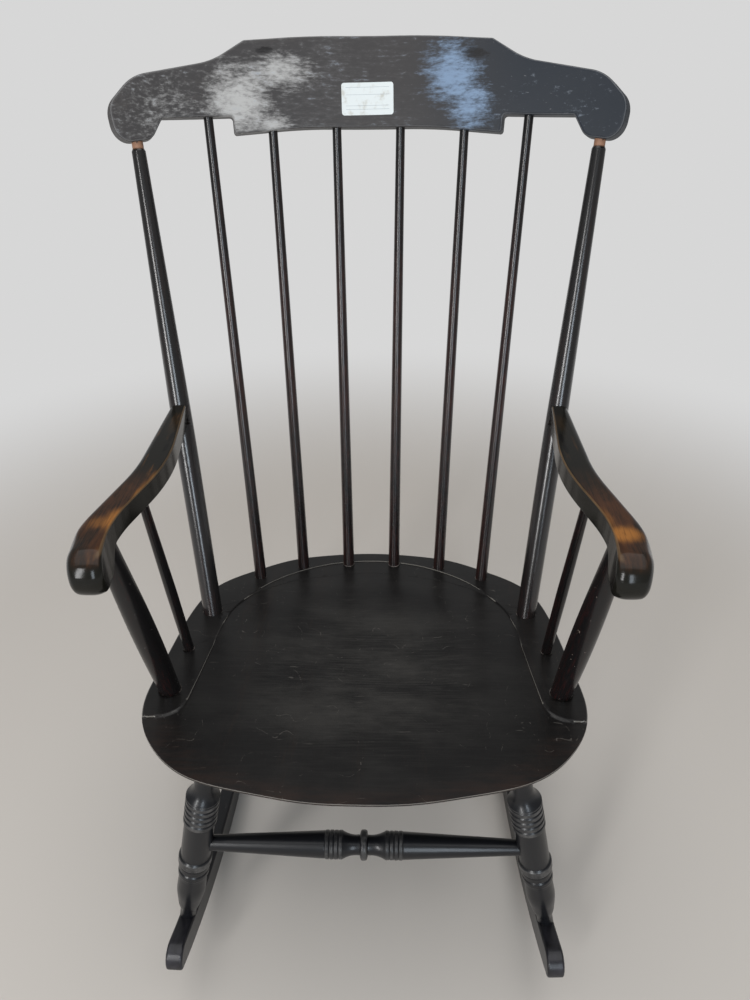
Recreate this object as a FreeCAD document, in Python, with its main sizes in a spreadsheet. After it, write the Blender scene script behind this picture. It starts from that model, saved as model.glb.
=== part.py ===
"""Spindle back rocking chair: a plank seat on turned legs, a shaped crest rail and scrolled arms.

All lengths are millimetres and all angles degrees. The sheet called sizes holds every driving
dimension, and the sheet called spans holds the lengths that follow from them, such as the reach
of a spindle from the seat to the crest rail. The chair stands on the floor at Z = 0, faces -Y,
and its origin lies under the middle of its bounding box.

Most pieces are first placed from points on the deck, the flat top of the seat. The deck's own
frame has its origin midway between the back posts, x to the right, y to the back and z square
to the deck, and it leans back by seat_tilt. Left and right are as seen from the front.
"""
import FreeCAD, Part
import math
import os
import re

import Sketcher
from FreeCAD import Placement, Rotation, Vector

LEFT, RIGHT = -1, 1
SIDES = {"left": LEFT, "right": RIGHT}
ACROSS = Vector(1, 0, 0)
UPWARD = Vector(0, 0, 1)

# Driving dimensions

SIZES = {
    # Seat plank
    "seat_width": 512,
    "seat_depth": 487,
    "seat_thickness": 32,
    "seat_rim": 4.5,
    "seat_bevel": 36,
    "seat_round": 3,
    "seat_tilt": 7,
    "seat_rise": 357,
    "saddle_step": 2,
    "dish_radius": 165,
    "dish_depth": 5,
    "dish_setback": 60,
    "seat_socket": 12,
    # Crest rail
    "crest_span": 581,
    "crest_height": 122,
    "crest_thickness": 22,
    "crest_bend": 597,
    "crest_lean": 9.3,
    "crest_rise": 590.5,
    "crest_setback": 68.4,
    "crest_round": 3,
    "crest_socket": 20,
    # Back posts
    "post_foot": 25.5,
    "post_belly": 27,
    "post_head": 16,
    "post_neck": 13,
    "post_neck_length": 5,
    # Back spindles
    "spindle_foot": 16.5,
    "spindle_head": 11,
    # Arms
    "arm_rise": 632,
    "arm_length": 324,
    "arm_thickness": 25,
    "arm_end_width": 21,
    "arm_front_width": 34,
    "arm_swing": 28,
    "arm_notch": 3,
    "knuckle_height": 48,
    "knuckle_length": 44,
    "knuckle_nose": 26,
    "arm_inner_round": 2.5,
    "arm_outer_round": 9,
    "arm_socket": 15,
    # Sticks under the arms
    "arm_spindle_foot": 12.5,
    "arm_spindle_belly": 13,
    "arm_spindle_head": 10,
    "support_foot": 24,
    "support_belly": 30,
    "support_head": 22,
    # Legs
    "leg_tenon": 24,
    "leg_waist": 23,
    "leg_collar": 39,
    "leg_reed": 39,
    "leg_shaft": 36,
    "leg_ring": 40,
    "leg_vase": 36,
    "leg_ankle": 20,
    "leg_neck_length": 34,
    "collar_drop": 60,
    "reed_pitch": 8.4,
    "reed_depth": 1.6,
    "ring_drop": 166,
    "ring_height": 12,
    "vase_drop": 232,
    "rear_leg_belly": 34,
    "foot_tenon": 13,
    "foot_socket": 16,
    # Stretchers
    "stretcher_end": 18,
    "stretcher_swell": 31,
    "stretcher_ring": 32.5,
    "stretcher_cove": 23,
    "stretcher_bead": 34,
    "stretcher_bead_length": 9.6,
    "stretcher_cove_length": 20,
    "stretcher_reed": 5.4,
    "stretcher_reed_depth": 0.8,
    "front_stretcher_drop": 145,
    "side_stretcher_drop": 122,
    "side_stretcher_rear_drop": 158,
    "rear_stretcher_drop": 112,
    "plain_stretcher_end": 14,
    "plain_stretcher_belly": 20,
    "stretcher_socket": 11,
    # Rockers
    "rocker_sweep": 700,
    "rocker_top_sweep": 760,
    "rocker_height": 38,
    "rocker_thickness": 21,
    "rocker_front": 296,
    "rocker_back": 400,
    "rocker_spread": 440,
    "rocker_toe": 2.2,
    "rocker_nose": 19,
    "rocker_tail": 11,
    "rocker_heel": 5,
    "rocker_edge": 3,
    "balance_setback": -31,
    # Fits
    "fit": 0.15,
    "end_gap": 0.5,
    "overrun": 20,
}

# Shares of the sizes that they follow

# Seat outline, right half from the front: x of half the width, y and round of the depth
SEAT_CORNER_SHARES = [
    (0.206, -0.669, 0.411),
    (0.748, -0.604, 0.216),
    (1.009, -0.428, 0.224),
    (0.961, -0.034, 0.921),
    (0.896, 0.141, 0.205),
    (0.471, 0.296, 0.167),
    (0.114, 0.331, 0.514),
]
# Edge of the saddled part of the seat, right half from the front, past the front edge at first
SADDLE_CORNER_SHARES = [
    (1.2, -0.76, 0),
    (1.2, -0.434, 0),
    (0.807, -0.423, 0.064),
    (0.7625, -0.0854, 1.03),
    (0.731, 0.0772, 0.22),
    (0.433, 0.171, 0.225),
    (0.089, 0.2156, 0.309),
]
# Feet of the sticks on the deck: x of half the seat's width, y of its depth
POST_FOOT_SHARES = (0.836, 0)
ARM_SPINDLE_FOOT_SHARES = (0.883, -0.172)
SUPPORT_FOOT_SHARES = (0.894, -0.334)
SPINDLE_FOOT_SHARES = [(0.634, 0.186), (0.398, 0.247), (0.134, 0.268)]
# Heads of the sticks at the crest rail: x of half its span, height of its height
POST_HEAD_SHARES = (0.926, -0.014)
SPINDLE_HEAD_SHARES = [(0.658, 0.25), (0.402, 0.16), (0.135, 0.195)]
# Heads of the sticks under an arm: out from the post in front widths, forward in arm lengths
ARM_SPINDLE_HEAD_SHARES = (0.01, 0.538)
SUPPORT_HEAD_SHARES = (0.35, 0.808)
# Leg tops under the seat: x of half its width, y of its depth
FRONT_LEG_TOP_SHARES = (0.667, -0.491)
REAR_LEG_TOP_SHARES = (0.66, 0.17)
# Feet on the rockers: along the front and the back of the rocker from its resting point
FRONT_FOOT_SHARE = 0.774
REAR_FOOT_SHARE = 0.417
# Crest outline: middle part x of half the span, then x from the end in crest heights
CREST_MIDDLE_TOP_SHARES = [(0.25, 1.003, 6.8), (0.499, 0.9385, 0.035), (0.621, 0.7475, 0.9)]
CREST_LOBE_SHARES = [
    (0.204, 0.5615, 0.56),
    (-0.008, 0.299, 0.22),
    (0.044, -0.033, 0.2),
    (0.335, 0.029, 0.15),
    (0.434, 0.2213, 0.03),
]
CREST_MIDDLE_BOTTOM_SHARES = [(0.551, 0.2746, 0.03), (0.547, 0.113, 0.03), (0.271, 0.1967, 5.4)]
SEAT_MIDDLE_SHARE = -0.169
BELLY_SHARE = 0.42
STICK_SWEEP_SHARE = 9
REED_COUNT = 5
RING_BEAD_COUNT = 2
STRETCHER_REED_COUNT = 4

TOLERANCE = 1e-3

doc = FreeCAD.newDocument("spindle_back_rocker")


# Sheets and expressions

def make_sheet(name):
    """Add an empty sheet to the document."""
    return doc.addObject("Spreadsheet::Sheet", name)


def write_size(sheet, row, name, value):
    """Write one size as plain text and give its cell the size's name."""
    cell = f"B{row}"
    sheet.set(f"A{row}", name)
    sheet.set(cell, str(value))
    sheet.setAlias(cell, name)


sizes = make_sheet("sizes")
spans = make_sheet("spans")
span_names = []
for size_row, (size_name, size_value) in enumerate(SIZES.items(), start=1):
    write_size(sizes, size_row, size_name, size_value)
doc.recompute()


def bound(text):
    """Write an expression on size names as one that the document can read."""
    def qualified(match):
        word = match[0]
        if word in SIZES:
            return f"sizes.{word}"
        return f"spans.{word}" if word in span_names else word
    return re.sub(r"[a-z][a-z0-9_]*", qualified, text)


def amount(text):
    """The present value of an expression on size names."""
    value = sizes.evalExpression(bound(text))
    return float(getattr(value, "Value", value))


def keep_span(name, value):
    """Write a length that follows from the sizes into the sheet of spans."""
    span_names.append(name)
    write_size(spans, len(span_names), name, round(value, 4))
    doc.recompute()


# Frames

def turned_about(axis, angle, base=Vector()):
    """A placement that turns about an axis through a point."""
    return Placement(base, Rotation(axis, angle))


def moved(x, y, z):
    """A placement that only moves."""
    return Placement(Vector(x, y, z), Rotation())


deck = turned_about(ACROSS, -amount("seat_tilt"), Vector(0, 0, amount("seat_rise")))
crest_plane = deck.multiply(turned_about(ACROSS, -amount("crest_lean")))
crest = crest_plane.multiply(moved(0, amount("crest_setback - crest_bend"), amount("crest_rise")))


def aimed(foot, head):
    """A placement at foot whose Z axis points at head."""
    return Placement(foot, Rotation(UPWARD, head.sub(foot)))


def along(placement, distance):
    """The point at a distance up the Z axis of a placement."""
    return placement.multVec(Vector(0, 0, distance))


def on_deck(shares, side, height=0):
    """The point on or under the deck at shares of the seat's size."""
    x = side * shares[0] * amount("seat_width / 2")
    return deck.multVec(Vector(x, shares[1] * amount("seat_depth"), height))


def on_crest(shares, side):
    """The point midway through the crest rail at shares of its size."""
    x = side * shares[0] * amount("crest_span / 2")
    middle = amount("crest_bend + crest_thickness / 2")
    return crest.multVec(Vector(x, math.sqrt(middle ** 2 - x ** 2), shares[1] * amount("crest_height")))


# Sketches

def plane_of(body, role):
    """One of the origin planes of a body."""
    return next(plane for plane in body.Origin.OriginFeatures if plane.Role == role)


def sketch_on(body, role, name, offset="0"):
    """A sketch on an origin plane of a body, lifted along the plane's normal."""
    sketch = body.newObject("Sketcher::SketchObject", name)
    sketch.AttachmentSupport = [(plane_of(body, role), "")]
    sketch.MapMode = "FlatFace"
    sketch.setExpression("AttachmentOffset.Base.z", bound(offset))
    return sketch


def pin_vertex(sketch, vertex, corner):
    """Hold a vertex at a corner's place, given by two expressions."""
    places = (("DistanceX", -2, corner[0]), ("DistanceY", -1, corner[1]))
    for kind, axis, text in places:
        value = amount(text)
        if value == 0:
            sketch.addConstraint(Sketcher.Constraint("PointOnObject", vertex, 1, axis))
            continue
        ends = (-1, 1, vertex, 1) if value > 0 else (vertex, 1, -1, 1)
        index = sketch.addConstraint(Sketcher.Constraint(kind, *ends, abs(value)))
        signed = text if value > 0 else f"-({text})"
        sketch.setExpression(f"Constraints[{index}]", bound(signed))


def corner_arc(before, corner, after, radius):
    """The arc that rounds a corner, with its ends in the order of travel."""
    back = (before - corner).normalize()
    ahead = (after - corner).normalize()
    half = back.getAngle(ahead) / 2
    start = corner + back * (radius / math.tan(half))
    end = corner + ahead * (radius / math.tan(half))
    centre = corner + (back + ahead).normalize() * (radius / math.sin(half))
    turns_left = (corner - before).cross(after - corner).z > 0
    first, last = (start, end) if turns_left else (end, start)
    angles = [math.atan2(point.y - centre.y, point.x - centre.x) for point in (first, last)]
    circle = Part.Circle(centre, UPWARD, radius)
    arc = Part.ArcOfCircle(circle, angles[0], angles[1])
    order = (1, 2) if turns_left else (2, 1)
    return arc, start, end, order


def outline(sketch, corners):
    """Draw a closed outline of straight runs whose corners are rounded by tangent arcs.

    Each corner is three expressions: its two coordinates and the radius of its round, 0 for a
    sharp corner. The corner itself stays in the sketch as a construction point.
    """
    places = [Vector(amount(x), amount(y), 0) for x, y, _ in corners]
    count = len(corners)
    rounds = []
    for index, (_, _, radius_text) in enumerate(corners):
        radius = amount(radius_text)
        if radius == 0:
            rounds.append(None)
            continue
        rounds.append(corner_arc(places[index - 1], places[index], places[(index + 1) % count], radius))
    lines = []
    for index in range(count):
        start = rounds[index][2] if rounds[index] else places[index]
        following = (index + 1) % count
        end = rounds[following][1] if rounds[following] else places[following]
        lines.append(sketch.addGeometry(Part.LineSegment(start, end), False))
    for index, corner in enumerate(corners):
        before, after = lines[index - 1], lines[index]
        if rounds[index] is None:
            sketch.addConstraint(Sketcher.Constraint("Coincident", before, 2, after, 1))
            pin_vertex(sketch, after, corner)
            continue
        arc, _, _, order = rounds[index]
        curve = sketch.addGeometry(arc, False)
        vertex = sketch.addGeometry(Part.Point(places[index]), True)
        pin_vertex(sketch, vertex, corner)
        sketch.addConstraint([
            Sketcher.Constraint("Tangent", before, 2, curve, order[0]),
            Sketcher.Constraint("Tangent", curve, order[1], after, 1),
            Sketcher.Constraint("PointOnObject", vertex, 1, before),
            Sketcher.Constraint("PointOnObject", vertex, 1, after),
        ])
        size = sketch.addConstraint(Sketcher.Constraint("Radius", curve, amount(corner[2])))
        sketch.setExpression(f"Constraints[{size}]", bound(corner[2]))


def mirrored(half):
    """Close a right half outline, drawn from the front or bottom up, with its mirror image."""
    other = [(f"-({x})", y, radius) for x, y, radius in reversed(half)]
    return half + other


# Solids

def new_body(name):
    """An empty body."""
    return doc.addObject("PartDesign::Body", name)


def padded(body, sketch, length, name):
    """Extrude a sketch along its normal by an expression."""
    pad = body.newObject("PartDesign::Pad", name)
    pad.Profile = sketch
    pad.setExpression("Length", bound(length))
    sketch.Visibility = False
    return pad


def lofted(body, first, last, name):
    """Join two sketches of like outline with straight lines."""
    loft = body.newObject("PartDesign::AdditiveLoft", name)
    loft.Profile = first
    loft.Sections = [last]
    loft.Ruled = True
    return loft


def revolved(name, profile):
    """Turn a closed profile of radius and height about the Z axis of its own body."""
    body = new_body(name)
    sketch = sketch_on(body, "XZ_Plane", f"{name}_profile")
    outline(sketch, profile)
    doc.recompute()
    turn = body.newObject("PartDesign::Revolution", f"{name}_turning")
    turn.Profile = sketch
    turn.ReferenceAxis = (sketch, ["V_Axis"])
    turn.Angle = 360
    return body


def closed_on_axis(profile):
    """Close a profile of radius, height and round by running back down its axis."""
    return [("0", profile[0][1], "0")] + profile + [("0", profile[-1][1], "0")]


def cylinder(name, radius, length, placement):
    """A cylinder with its size given by expressions."""
    tool = doc.addObject("Part::Cylinder", name)
    tool.setExpression("Radius", bound(radius))
    tool.setExpression("Height", bound(length))
    tool.Placement = placement
    return tool


def combined(kind, name, base, tools):
    """Cut the tools from a base, or fuse them to it."""
    joined = tools[0]
    if len(tools) > 1:
        joined = doc.addObject("Part::MultiFuse", f"{name}_tools")
        joined.Shapes = tools
    result = doc.addObject(kind, name)
    result.Base = base
    result.Tool = joined
    return result


def edges_where(shape, test):
    """The numbers of the edges whose start, middle and end pass a test."""
    found = []
    for number, edge in enumerate(shape.Edges, start=1):
        first, last = edge.FirstParameter, edge.LastParameter
        if test([edge.valueAt(first), edge.valueAt((first + last) / 2), edge.valueAt(last)]):
            found.append(number)
    return found


def soften(body, name, test, radius):
    """Round the edges of a body whose start, middle and end pass a test."""
    base = body.Tip
    names = [f"Edge{number}" for number in edges_where(base.Shape, test)]
    fillet = body.newObject("PartDesign::Fillet", name)
    fillet.Base = (base, names)
    fillet.setExpression("Radius", bound(radius))
    doc.recompute()


nodes = {}


def keep(name, solid):
    """Hold a finished piece under its own name."""
    solid.Label = name
    nodes[name] = solid


# Sticks: where each one stands and how far it reaches

class Stick:
    """A turned stick between two pieces: its name, its frame and its reach."""

    def __init__(self, name, foot, head):
        self.name = name
        self.placement = aimed(foot, head)
        self.reach = f"{name}_reach"
        self.length = foot.distanceToPoint(head)
        keep_span(self.reach, self.length)


def back_sticks():
    """The six spindles of the back from left to right, and the two posts."""
    spindles = []
    count = len(SPINDLE_FOOT_SHARES)
    for number in range(2 * count):
        side = LEFT if number < count else RIGHT
        index = number if number < count else 2 * count - 1 - number
        foot = on_deck(SPINDLE_FOOT_SHARES[index], side)
        head = on_crest(SPINDLE_HEAD_SHARES[index], side)
        spindles.append(Stick(f"back_spindle_{number + 1}", foot, head))
    posts = {}
    for word, side in SIDES.items():
        head = on_crest(POST_HEAD_SHARES, side)
        posts[word] = Stick(f"back_post_{word}", on_deck(POST_FOOT_SHARES, side), head)
    return spindles, posts


spindles, posts = back_sticks()


def arm_frame(side):
    """The frame of an arm: its origin on top of the arm's rear end, above the post's line."""
    post = posts["right" if side == RIGHT else "left"]
    foot = post.placement.Base
    axis = along(post.placement, 1) - foot
    level = amount("arm_rise - arm_thickness / 2")
    meeting = foot + axis * ((level - foot.z) / axis.z)
    front = meeting.y - amount("post_belly / 2 - arm_notch")
    return Placement(Vector(meeting.x, front, amount("arm_rise")), Rotation())


arms = {word: arm_frame(side) for word, side in SIDES.items()}


def under_arm(word, shares):
    """The point under an arm at a share of its front width and of its length."""
    frame = arms[word]
    x = frame.Base.x + SIDES[word] * shares[0] * amount("arm_front_width")
    y = frame.Base.y - shares[1] * amount("arm_length")
    return Vector(x, y, amount("arm_rise - arm_thickness"))


def arm_sticks():
    """The thin spindle and the stout support under each arm."""
    thin, stout = {}, {}
    for word, side in SIDES.items():
        foot = on_deck(ARM_SPINDLE_FOOT_SHARES, side)
        thin[word] = Stick(f"arm_spindle_{word}", foot, under_arm(word, ARM_SPINDLE_HEAD_SHARES))
        foot = on_deck(SUPPORT_FOOT_SHARES, side)
        stout[word] = Stick(f"arm_support_{word}", foot, under_arm(word, SUPPORT_HEAD_SHARES))
    return thin, stout


arm_spindles, arm_supports = arm_sticks()


def rocker_frame(side):
    """The frame of a rocker: its origin where it rests on the floor, Y along the rocker."""
    base = Vector(side * amount("rocker_spread / 2"), amount("balance_setback"), 0)
    return turned_about(UPWARD, side * amount("rocker_toe"), base)


rockers = {word: rocker_frame(side) for word, side in SIDES.items()}


def on_rocker(word, distance):
    """The point in the middle of a rocker's top at a distance along it from where it rests."""
    sweep = amount("rocker_top_sweep")
    rise = sweep - math.sqrt(sweep ** 2 - distance ** 2)
    return rockers[word].multVec(Vector(0, distance, amount("rocker_height") + rise))


def legs_between(end, top_shares, distance):
    """The two legs at one end of the seat, each from the seat down to its rocker."""
    pair = {}
    for word, side in SIDES.items():
        top = on_deck(top_shares, side, -amount("seat_thickness"))
        pair[word] = Stick(f"{end}_leg_{word}", top, on_rocker(word, distance))
    return pair


front_legs = legs_between("front", FRONT_LEG_TOP_SHARES, -FRONT_FOOT_SHARE * amount("rocker_front"))
rear_legs = legs_between("rear", REAR_LEG_TOP_SHARES, REAR_FOOT_SHARE * amount("rocker_back"))


def between_legs(name, first, first_drop, last, last_drop):
    """A stretcher from the axis of one leg to the axis of another."""
    start = along(first.placement, amount(first_drop))
    return Stick(name, start, along(last.placement, amount(last_drop)))


front_stretcher = between_legs(
    "front_stretcher", front_legs["left"], "front_stretcher_drop",
    front_legs["right"], "front_stretcher_drop")
rear_stretcher = between_legs(
    "rear_stretcher", rear_legs["left"], "rear_stretcher_drop",
    rear_legs["right"], "rear_stretcher_drop")
side_stretchers = {
    word: between_legs(
        f"side_stretcher_{word}", front_legs[word], "side_stretcher_drop",
        rear_legs[word], "side_stretcher_rear_drop")
    for word in SIDES
}


# Turned profiles: radius, height along the stick, round of the corner

def swelling(reach, foot, belly, head, below, above):
    """A stick that swells between its foot and its head and runs on into both sockets."""
    return [
        (f"{foot} / 2", f"-({below})", "0"),
        (f"{foot} / 2", "0", "0"),
        (f"{belly} / 2", f"{reach} * {BELLY_SHARE}", f"{reach} * {STICK_SWEEP_SHARE}"),
        (f"{head} / 2", reach, "0"),
        (f"{head} / 2", f"{reach} + {above}", "0"),
    ]


def taper(reach, foot, head, below, above):
    """A stick that narrows evenly from its foot to its head and runs on into both sockets."""
    return [
        (f"{foot} / 2", f"-({below})", "0"),
        (f"{foot} / 2", "0", "0"),
        (f"{head} / 2", reach, "0"),
        (f"{head} / 2", f"{reach} + {above}", "0"),
    ]


def post_profile(reach):
    """A back post, with a slim bare neck between its shoulder and the crest rail."""
    return [
        ("post_foot / 2", "-seat_socket", "0"),
        ("post_foot / 2", "0", "0"),
        ("post_belly / 2", f"{reach} * {BELLY_SHARE}", f"{reach} * {STICK_SWEEP_SHARE}"),
        ("post_head / 2", f"{reach} - 1.6 * post_neck_length", "0"),
        ("post_neck / 2", f"{reach} - post_neck_length", "0"),
        ("post_neck / 2", f"{reach} + crest_socket", "0"),
    ]


def reeds(outer, start, pitch, count, depth):
    """A row of half round reeds turned side by side."""
    row = []
    for number in range(count):
        low = f"{start} + {number} * {pitch}"
        row += [
            (f"{outer} / 2", f"{low} + 0.22 * {pitch}", f"0.2 * {pitch}"),
            (f"{outer} / 2", f"{low} + 0.78 * {pitch}", f"0.2 * {pitch}"),
            (f"{outer} / 2 - {depth}", f"{low} + {pitch}", "0"),
        ]
    return row


def front_leg_profile(reach):
    """A front leg from its tenon down: cup, reeds, shaft, ring with beads, vase and ankle."""
    return [
        ("leg_tenon / 2", "-seat_socket", "0"),
        ("leg_tenon / 2", "0", "0"),
        ("leg_waist / 2", "leg_neck_length", "collar_drop"),
        ("leg_waist / 2 + 0.06 * leg_collar / 2", "0.86 * collar_drop", "0.4 * collar_drop"),
        ("leg_collar / 2", "collar_drop - 0.1 * reed_pitch", "0"),
        ("leg_collar / 2", "collar_drop", "0"),
        ("leg_reed / 2 - reed_depth", "collar_drop + 0.1 * reed_pitch", "0"),
        *reeds("leg_reed", "collar_drop + 0.1 * reed_pitch", "reed_pitch", REED_COUNT, "reed_depth"),
        ("leg_shaft / 2", "ring_drop - 0.2 * ring_height", "0"),
        ("leg_ring / 2", "ring_drop", "0"),
        ("leg_ring / 2", "ring_drop + 0.8 * ring_height", "0.3 * ring_height"),
        ("0.455 * leg_ring", "ring_drop + ring_height", "0"),
        *reeds("0.93 * leg_ring", "ring_drop + ring_height", "0.9 * ring_height",
               RING_BEAD_COUNT, "reed_depth"),
        ("0.47 * leg_vase", "vase_drop - 2.3 * ring_height", "0"),
        ("leg_vase / 2", "vase_drop", "2.4 * leg_vase"),
        ("0.37 * leg_vase", "vase_drop + 2.6 * ring_height", "2 * leg_vase"),
        ("leg_ankle / 2", f"{reach} - 1.2 * ring_height", "leg_vase"),
        ("leg_ankle / 2", f"{reach} + 0.2 * leg_ankle", "0"),
    ]


def rear_leg_profile(reach):
    """A rear leg from its tenon down: a plain swelling leg that ends in an ankle."""
    return [
        ("leg_tenon / 2", "-seat_socket", "0"),
        ("leg_tenon / 2", "0", "0"),
        ("rear_leg_belly / 2", f"0.42 * {reach}", f"1.4 * {reach}"),
        ("leg_ankle / 2", f"{reach} - 1.2 * ring_height", f"0.2 * {reach}"),
        ("leg_ankle / 2", f"{reach} + 0.2 * leg_ankle", "0"),
    ]


def front_stretcher_profile(reach):
    """The front stretcher: a bead in the middle, a cove and reeds on each side, tapered ends."""
    middle = f"{reach} / 2"
    bead_end = f"{middle} + stretcher_bead_length / 2"
    cove_middle = f"{bead_end} + stretcher_cove_length / 2"
    reed_start = f"{bead_end} + stretcher_cove_length"
    reed_end = f"{reed_start} + {STRETCHER_REED_COUNT} * stretcher_reed"
    tip = f"{reach} - leg_shaft / 2 + stretcher_socket"
    half = [
        ("stretcher_bead / 2", f"{middle} + 0.36 * stretcher_bead_length", "0.3 * stretcher_bead_length"),
        ("stretcher_cove / 2", bead_end, "0"),
        ("0.46 * stretcher_cove", cove_middle, "1.6 * stretcher_cove_length"),
        ("stretcher_ring / 2 - stretcher_reed_depth", reed_start, "0"),
        *reeds("stretcher_ring", reed_start, "stretcher_reed", STRETCHER_REED_COUNT,
               "stretcher_reed_depth"),
        ("stretcher_swell / 2", f"{reed_end} + stretcher_reed_depth", "0"),
        ("stretcher_end / 2", f"{reach} - leg_shaft / 2", "0"),
        ("stretcher_end / 2", tip, "0"),
    ]
    other = [(radius, f"{reach} - ({height})", turn) for radius, height, turn in reversed(half)]
    return other + half


def plain_stretcher_profile(reach):
    """A plain stretcher that swells a little in the middle."""
    tip = "leg_shaft / 2 - stretcher_socket"
    return [
        ("plain_stretcher_end / 2", tip, "0"),
        ("plain_stretcher_belly / 2", f"{reach} / 2", f"1.5 * {reach}"),
        ("plain_stretcher_end / 2", f"{reach} - ({tip})", "0"),
    ]


def turned_piece(stick, profile):
    """Turn a stick and stand it in its place."""
    body = revolved(f"{stick.name}_turning", closed_on_axis(profile))
    body.Placement = stick.placement
    return body


def finished(name, base, tools):
    """Cut the tools from a base and keep the result as a piece."""
    keep(name, combined("Part::Cut", f"{name}_cut", base, tools))


# Sockets

def socket(name, stick, start, depth, width):
    """A bore round a stick's axis, from past its open mouth to past the stick's end."""
    return cylinder(name, f"{width} / 2 + fit", depth, stick.placement.multiply(moved(0, 0, start)))


def foot_socket_for(stick, width):
    """The bore that takes the foot of a stick, or the tenon of a leg, in the seat."""
    start = -amount("seat_socket + end_gap")
    return socket(f"{stick.name}_seat_bore", stick, start, "seat_socket + end_gap + overrun", width)


def head_socket_for(stick, width, depth, mouth):
    """The bore that takes the head of a stick in the piece above it."""
    start = stick.length - amount(mouth)
    return socket(f"{stick.name}_head_bore", stick, start, f"{mouth} + {depth} + end_gap", width)


def near_end_bore(stretcher, width):
    """The bore for the start of a stretcher, in the leg that it starts from."""
    start = amount("leg_shaft / 2 - stretcher_socket - end_gap")
    return socket(f"{stretcher.name}_near_bore", stretcher, start, "stretcher_socket + overrun", width)


def far_end_bore(stretcher, width):
    """The bore for the end of a stretcher, in the leg that it runs to."""
    length = "stretcher_socket + overrun"
    start = stretcher.length - amount(f"{length} + leg_shaft / 2 - stretcher_socket - end_gap")
    return socket(f"{stretcher.name}_far_bore", stretcher, start, length, width)


# Seat

def seat_outline(inset):
    """The seat's outline, drawn in by an expression on every side."""
    half = []
    for x_share, y_share, round_share in SEAT_CORNER_SHARES:
        middle = SEAT_MIDDLE_SHARE
        x = f"{x_share} * (seat_width / 2 - {inset})"
        y = f"{middle} * seat_depth + ({y_share - middle}) * (seat_depth - 2 * {inset})"
        half.append((x, y, f"{round_share} * (seat_depth - 2 * {inset})"))
    return mirrored(half)


def lies_on_deck(points):
    """Whether all the points are at the top of the seat."""
    return all(abs(point.z) < TOLERANCE for point in points)


def saddled_plank():
    """The seat's plank: bevelled below, rounded above, its sitting part a step lower and dished."""
    body = new_body("seat_plank")
    upper = sketch_on(body, "XY_Plane", "seat_outline", "-seat_rim")
    outline(upper, seat_outline("0"))
    doc.recompute()
    padded(body, upper, "seat_rim", "seat_rim_pad")
    start = sketch_on(body, "XY_Plane", "bevel_start", "-seat_rim")
    outline(start, seat_outline("0"))
    lower = sketch_on(body, "XY_Plane", "bevel_end", "-seat_thickness")
    outline(lower, seat_outline("seat_bevel"))
    lofted(body, start, lower, "seat_bevel_loft")
    doc.recompute()
    soften(body, "seat_top_round", lies_on_deck, "seat_round")
    before = body.Shape.Volume
    saddle = sketch_on(body, "XY_Plane", "saddle_edge")
    half = [
        (f"{x} * seat_width / 2", f"{y} * seat_depth", f"{turn} * seat_depth")
        for x, y, turn in SADDLE_CORNER_SHARES
    ]
    outline(saddle, mirrored(half))
    doc.recompute()
    pocket = body.newObject("PartDesign::Pocket", "saddle")
    pocket.Profile = saddle
    pocket.setExpression("Length", "sizes.saddle_step")
    doc.recompute()
    if body.Shape.Volume >= before:
        raise RuntimeError("the saddle cuts nothing")
    body.Placement = deck
    return body


def dish_tool():
    """The shallow dish of the seat: a turned hollow that fades out on the saddled part."""
    floor = "saddle_step"
    profile = [
        ("0", f"-({floor} + dish_depth)", "0"),
        ("0.3 * dish_radius", f"-({floor} + dish_depth)", "2.2 * dish_radius"),
        ("0.8 * dish_radius", f"-({floor} + 0.05 * dish_depth)", "2.2 * dish_radius"),
        ("1.2 * dish_radius", f"0.12 * dish_depth - {floor}", "0"),
        ("1.2 * dish_radius", "overrun", "0"),
        ("0", "overrun", "0"),
    ]
    body = revolved("dish", profile)
    body.Placement = deck.multiply(moved(0, -amount("dish_setback"), 0))
    return body


def make_seat():
    """The seat with its dish and the bores for every stick and leg."""
    tools = [dish_tool()]
    tools += [foot_socket_for(stick, "spindle_foot") for stick in spindles]
    for word in SIDES:
        tools.append(foot_socket_for(posts[word], "post_foot"))
        tools.append(foot_socket_for(arm_spindles[word], "arm_spindle_foot"))
        tools.append(foot_socket_for(arm_supports[word], "support_foot"))
        tools.append(foot_socket_for(front_legs[word], "leg_tenon"))
        tools.append(foot_socket_for(rear_legs[word], "leg_tenon"))
    finished("seat", saddled_plank(), tools)


# Crest rail

def across_plane(x, distance):
    """Carry an x on the crest's front face out along its radius to a plane across the crest."""
    return f"({distance}) * ({x}) / sqrt(crest_bend ^ 2 - ({x}) ^ 2)"


def crest_outline(distance):
    """The crest's outline on a plane at a distance in front of the centre of its bend."""
    half_span = "crest_span / 2"
    half = []

    def add(x, height_share, round_share):
        turn = f"{round_share} * crest_height * ({distance}) / crest_bend"
        half.append((across_plane(x, distance), f"{height_share} * crest_height", turn))

    for x_share, height_share, round_share in reversed(CREST_MIDDLE_BOTTOM_SHARES):
        add(f"{x_share} * {half_span}", height_share, round_share)
    for x_share, height_share, round_share in reversed(CREST_LOBE_SHARES):
        add(f"{half_span} - ({x_share}) * crest_height", height_share, round_share)
    for x_share, height_share, round_share in reversed(CREST_MIDDLE_TOP_SHARES):
        add(f"{x_share} * {half_span}", height_share, round_share)
    return mirrored(half)


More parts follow.
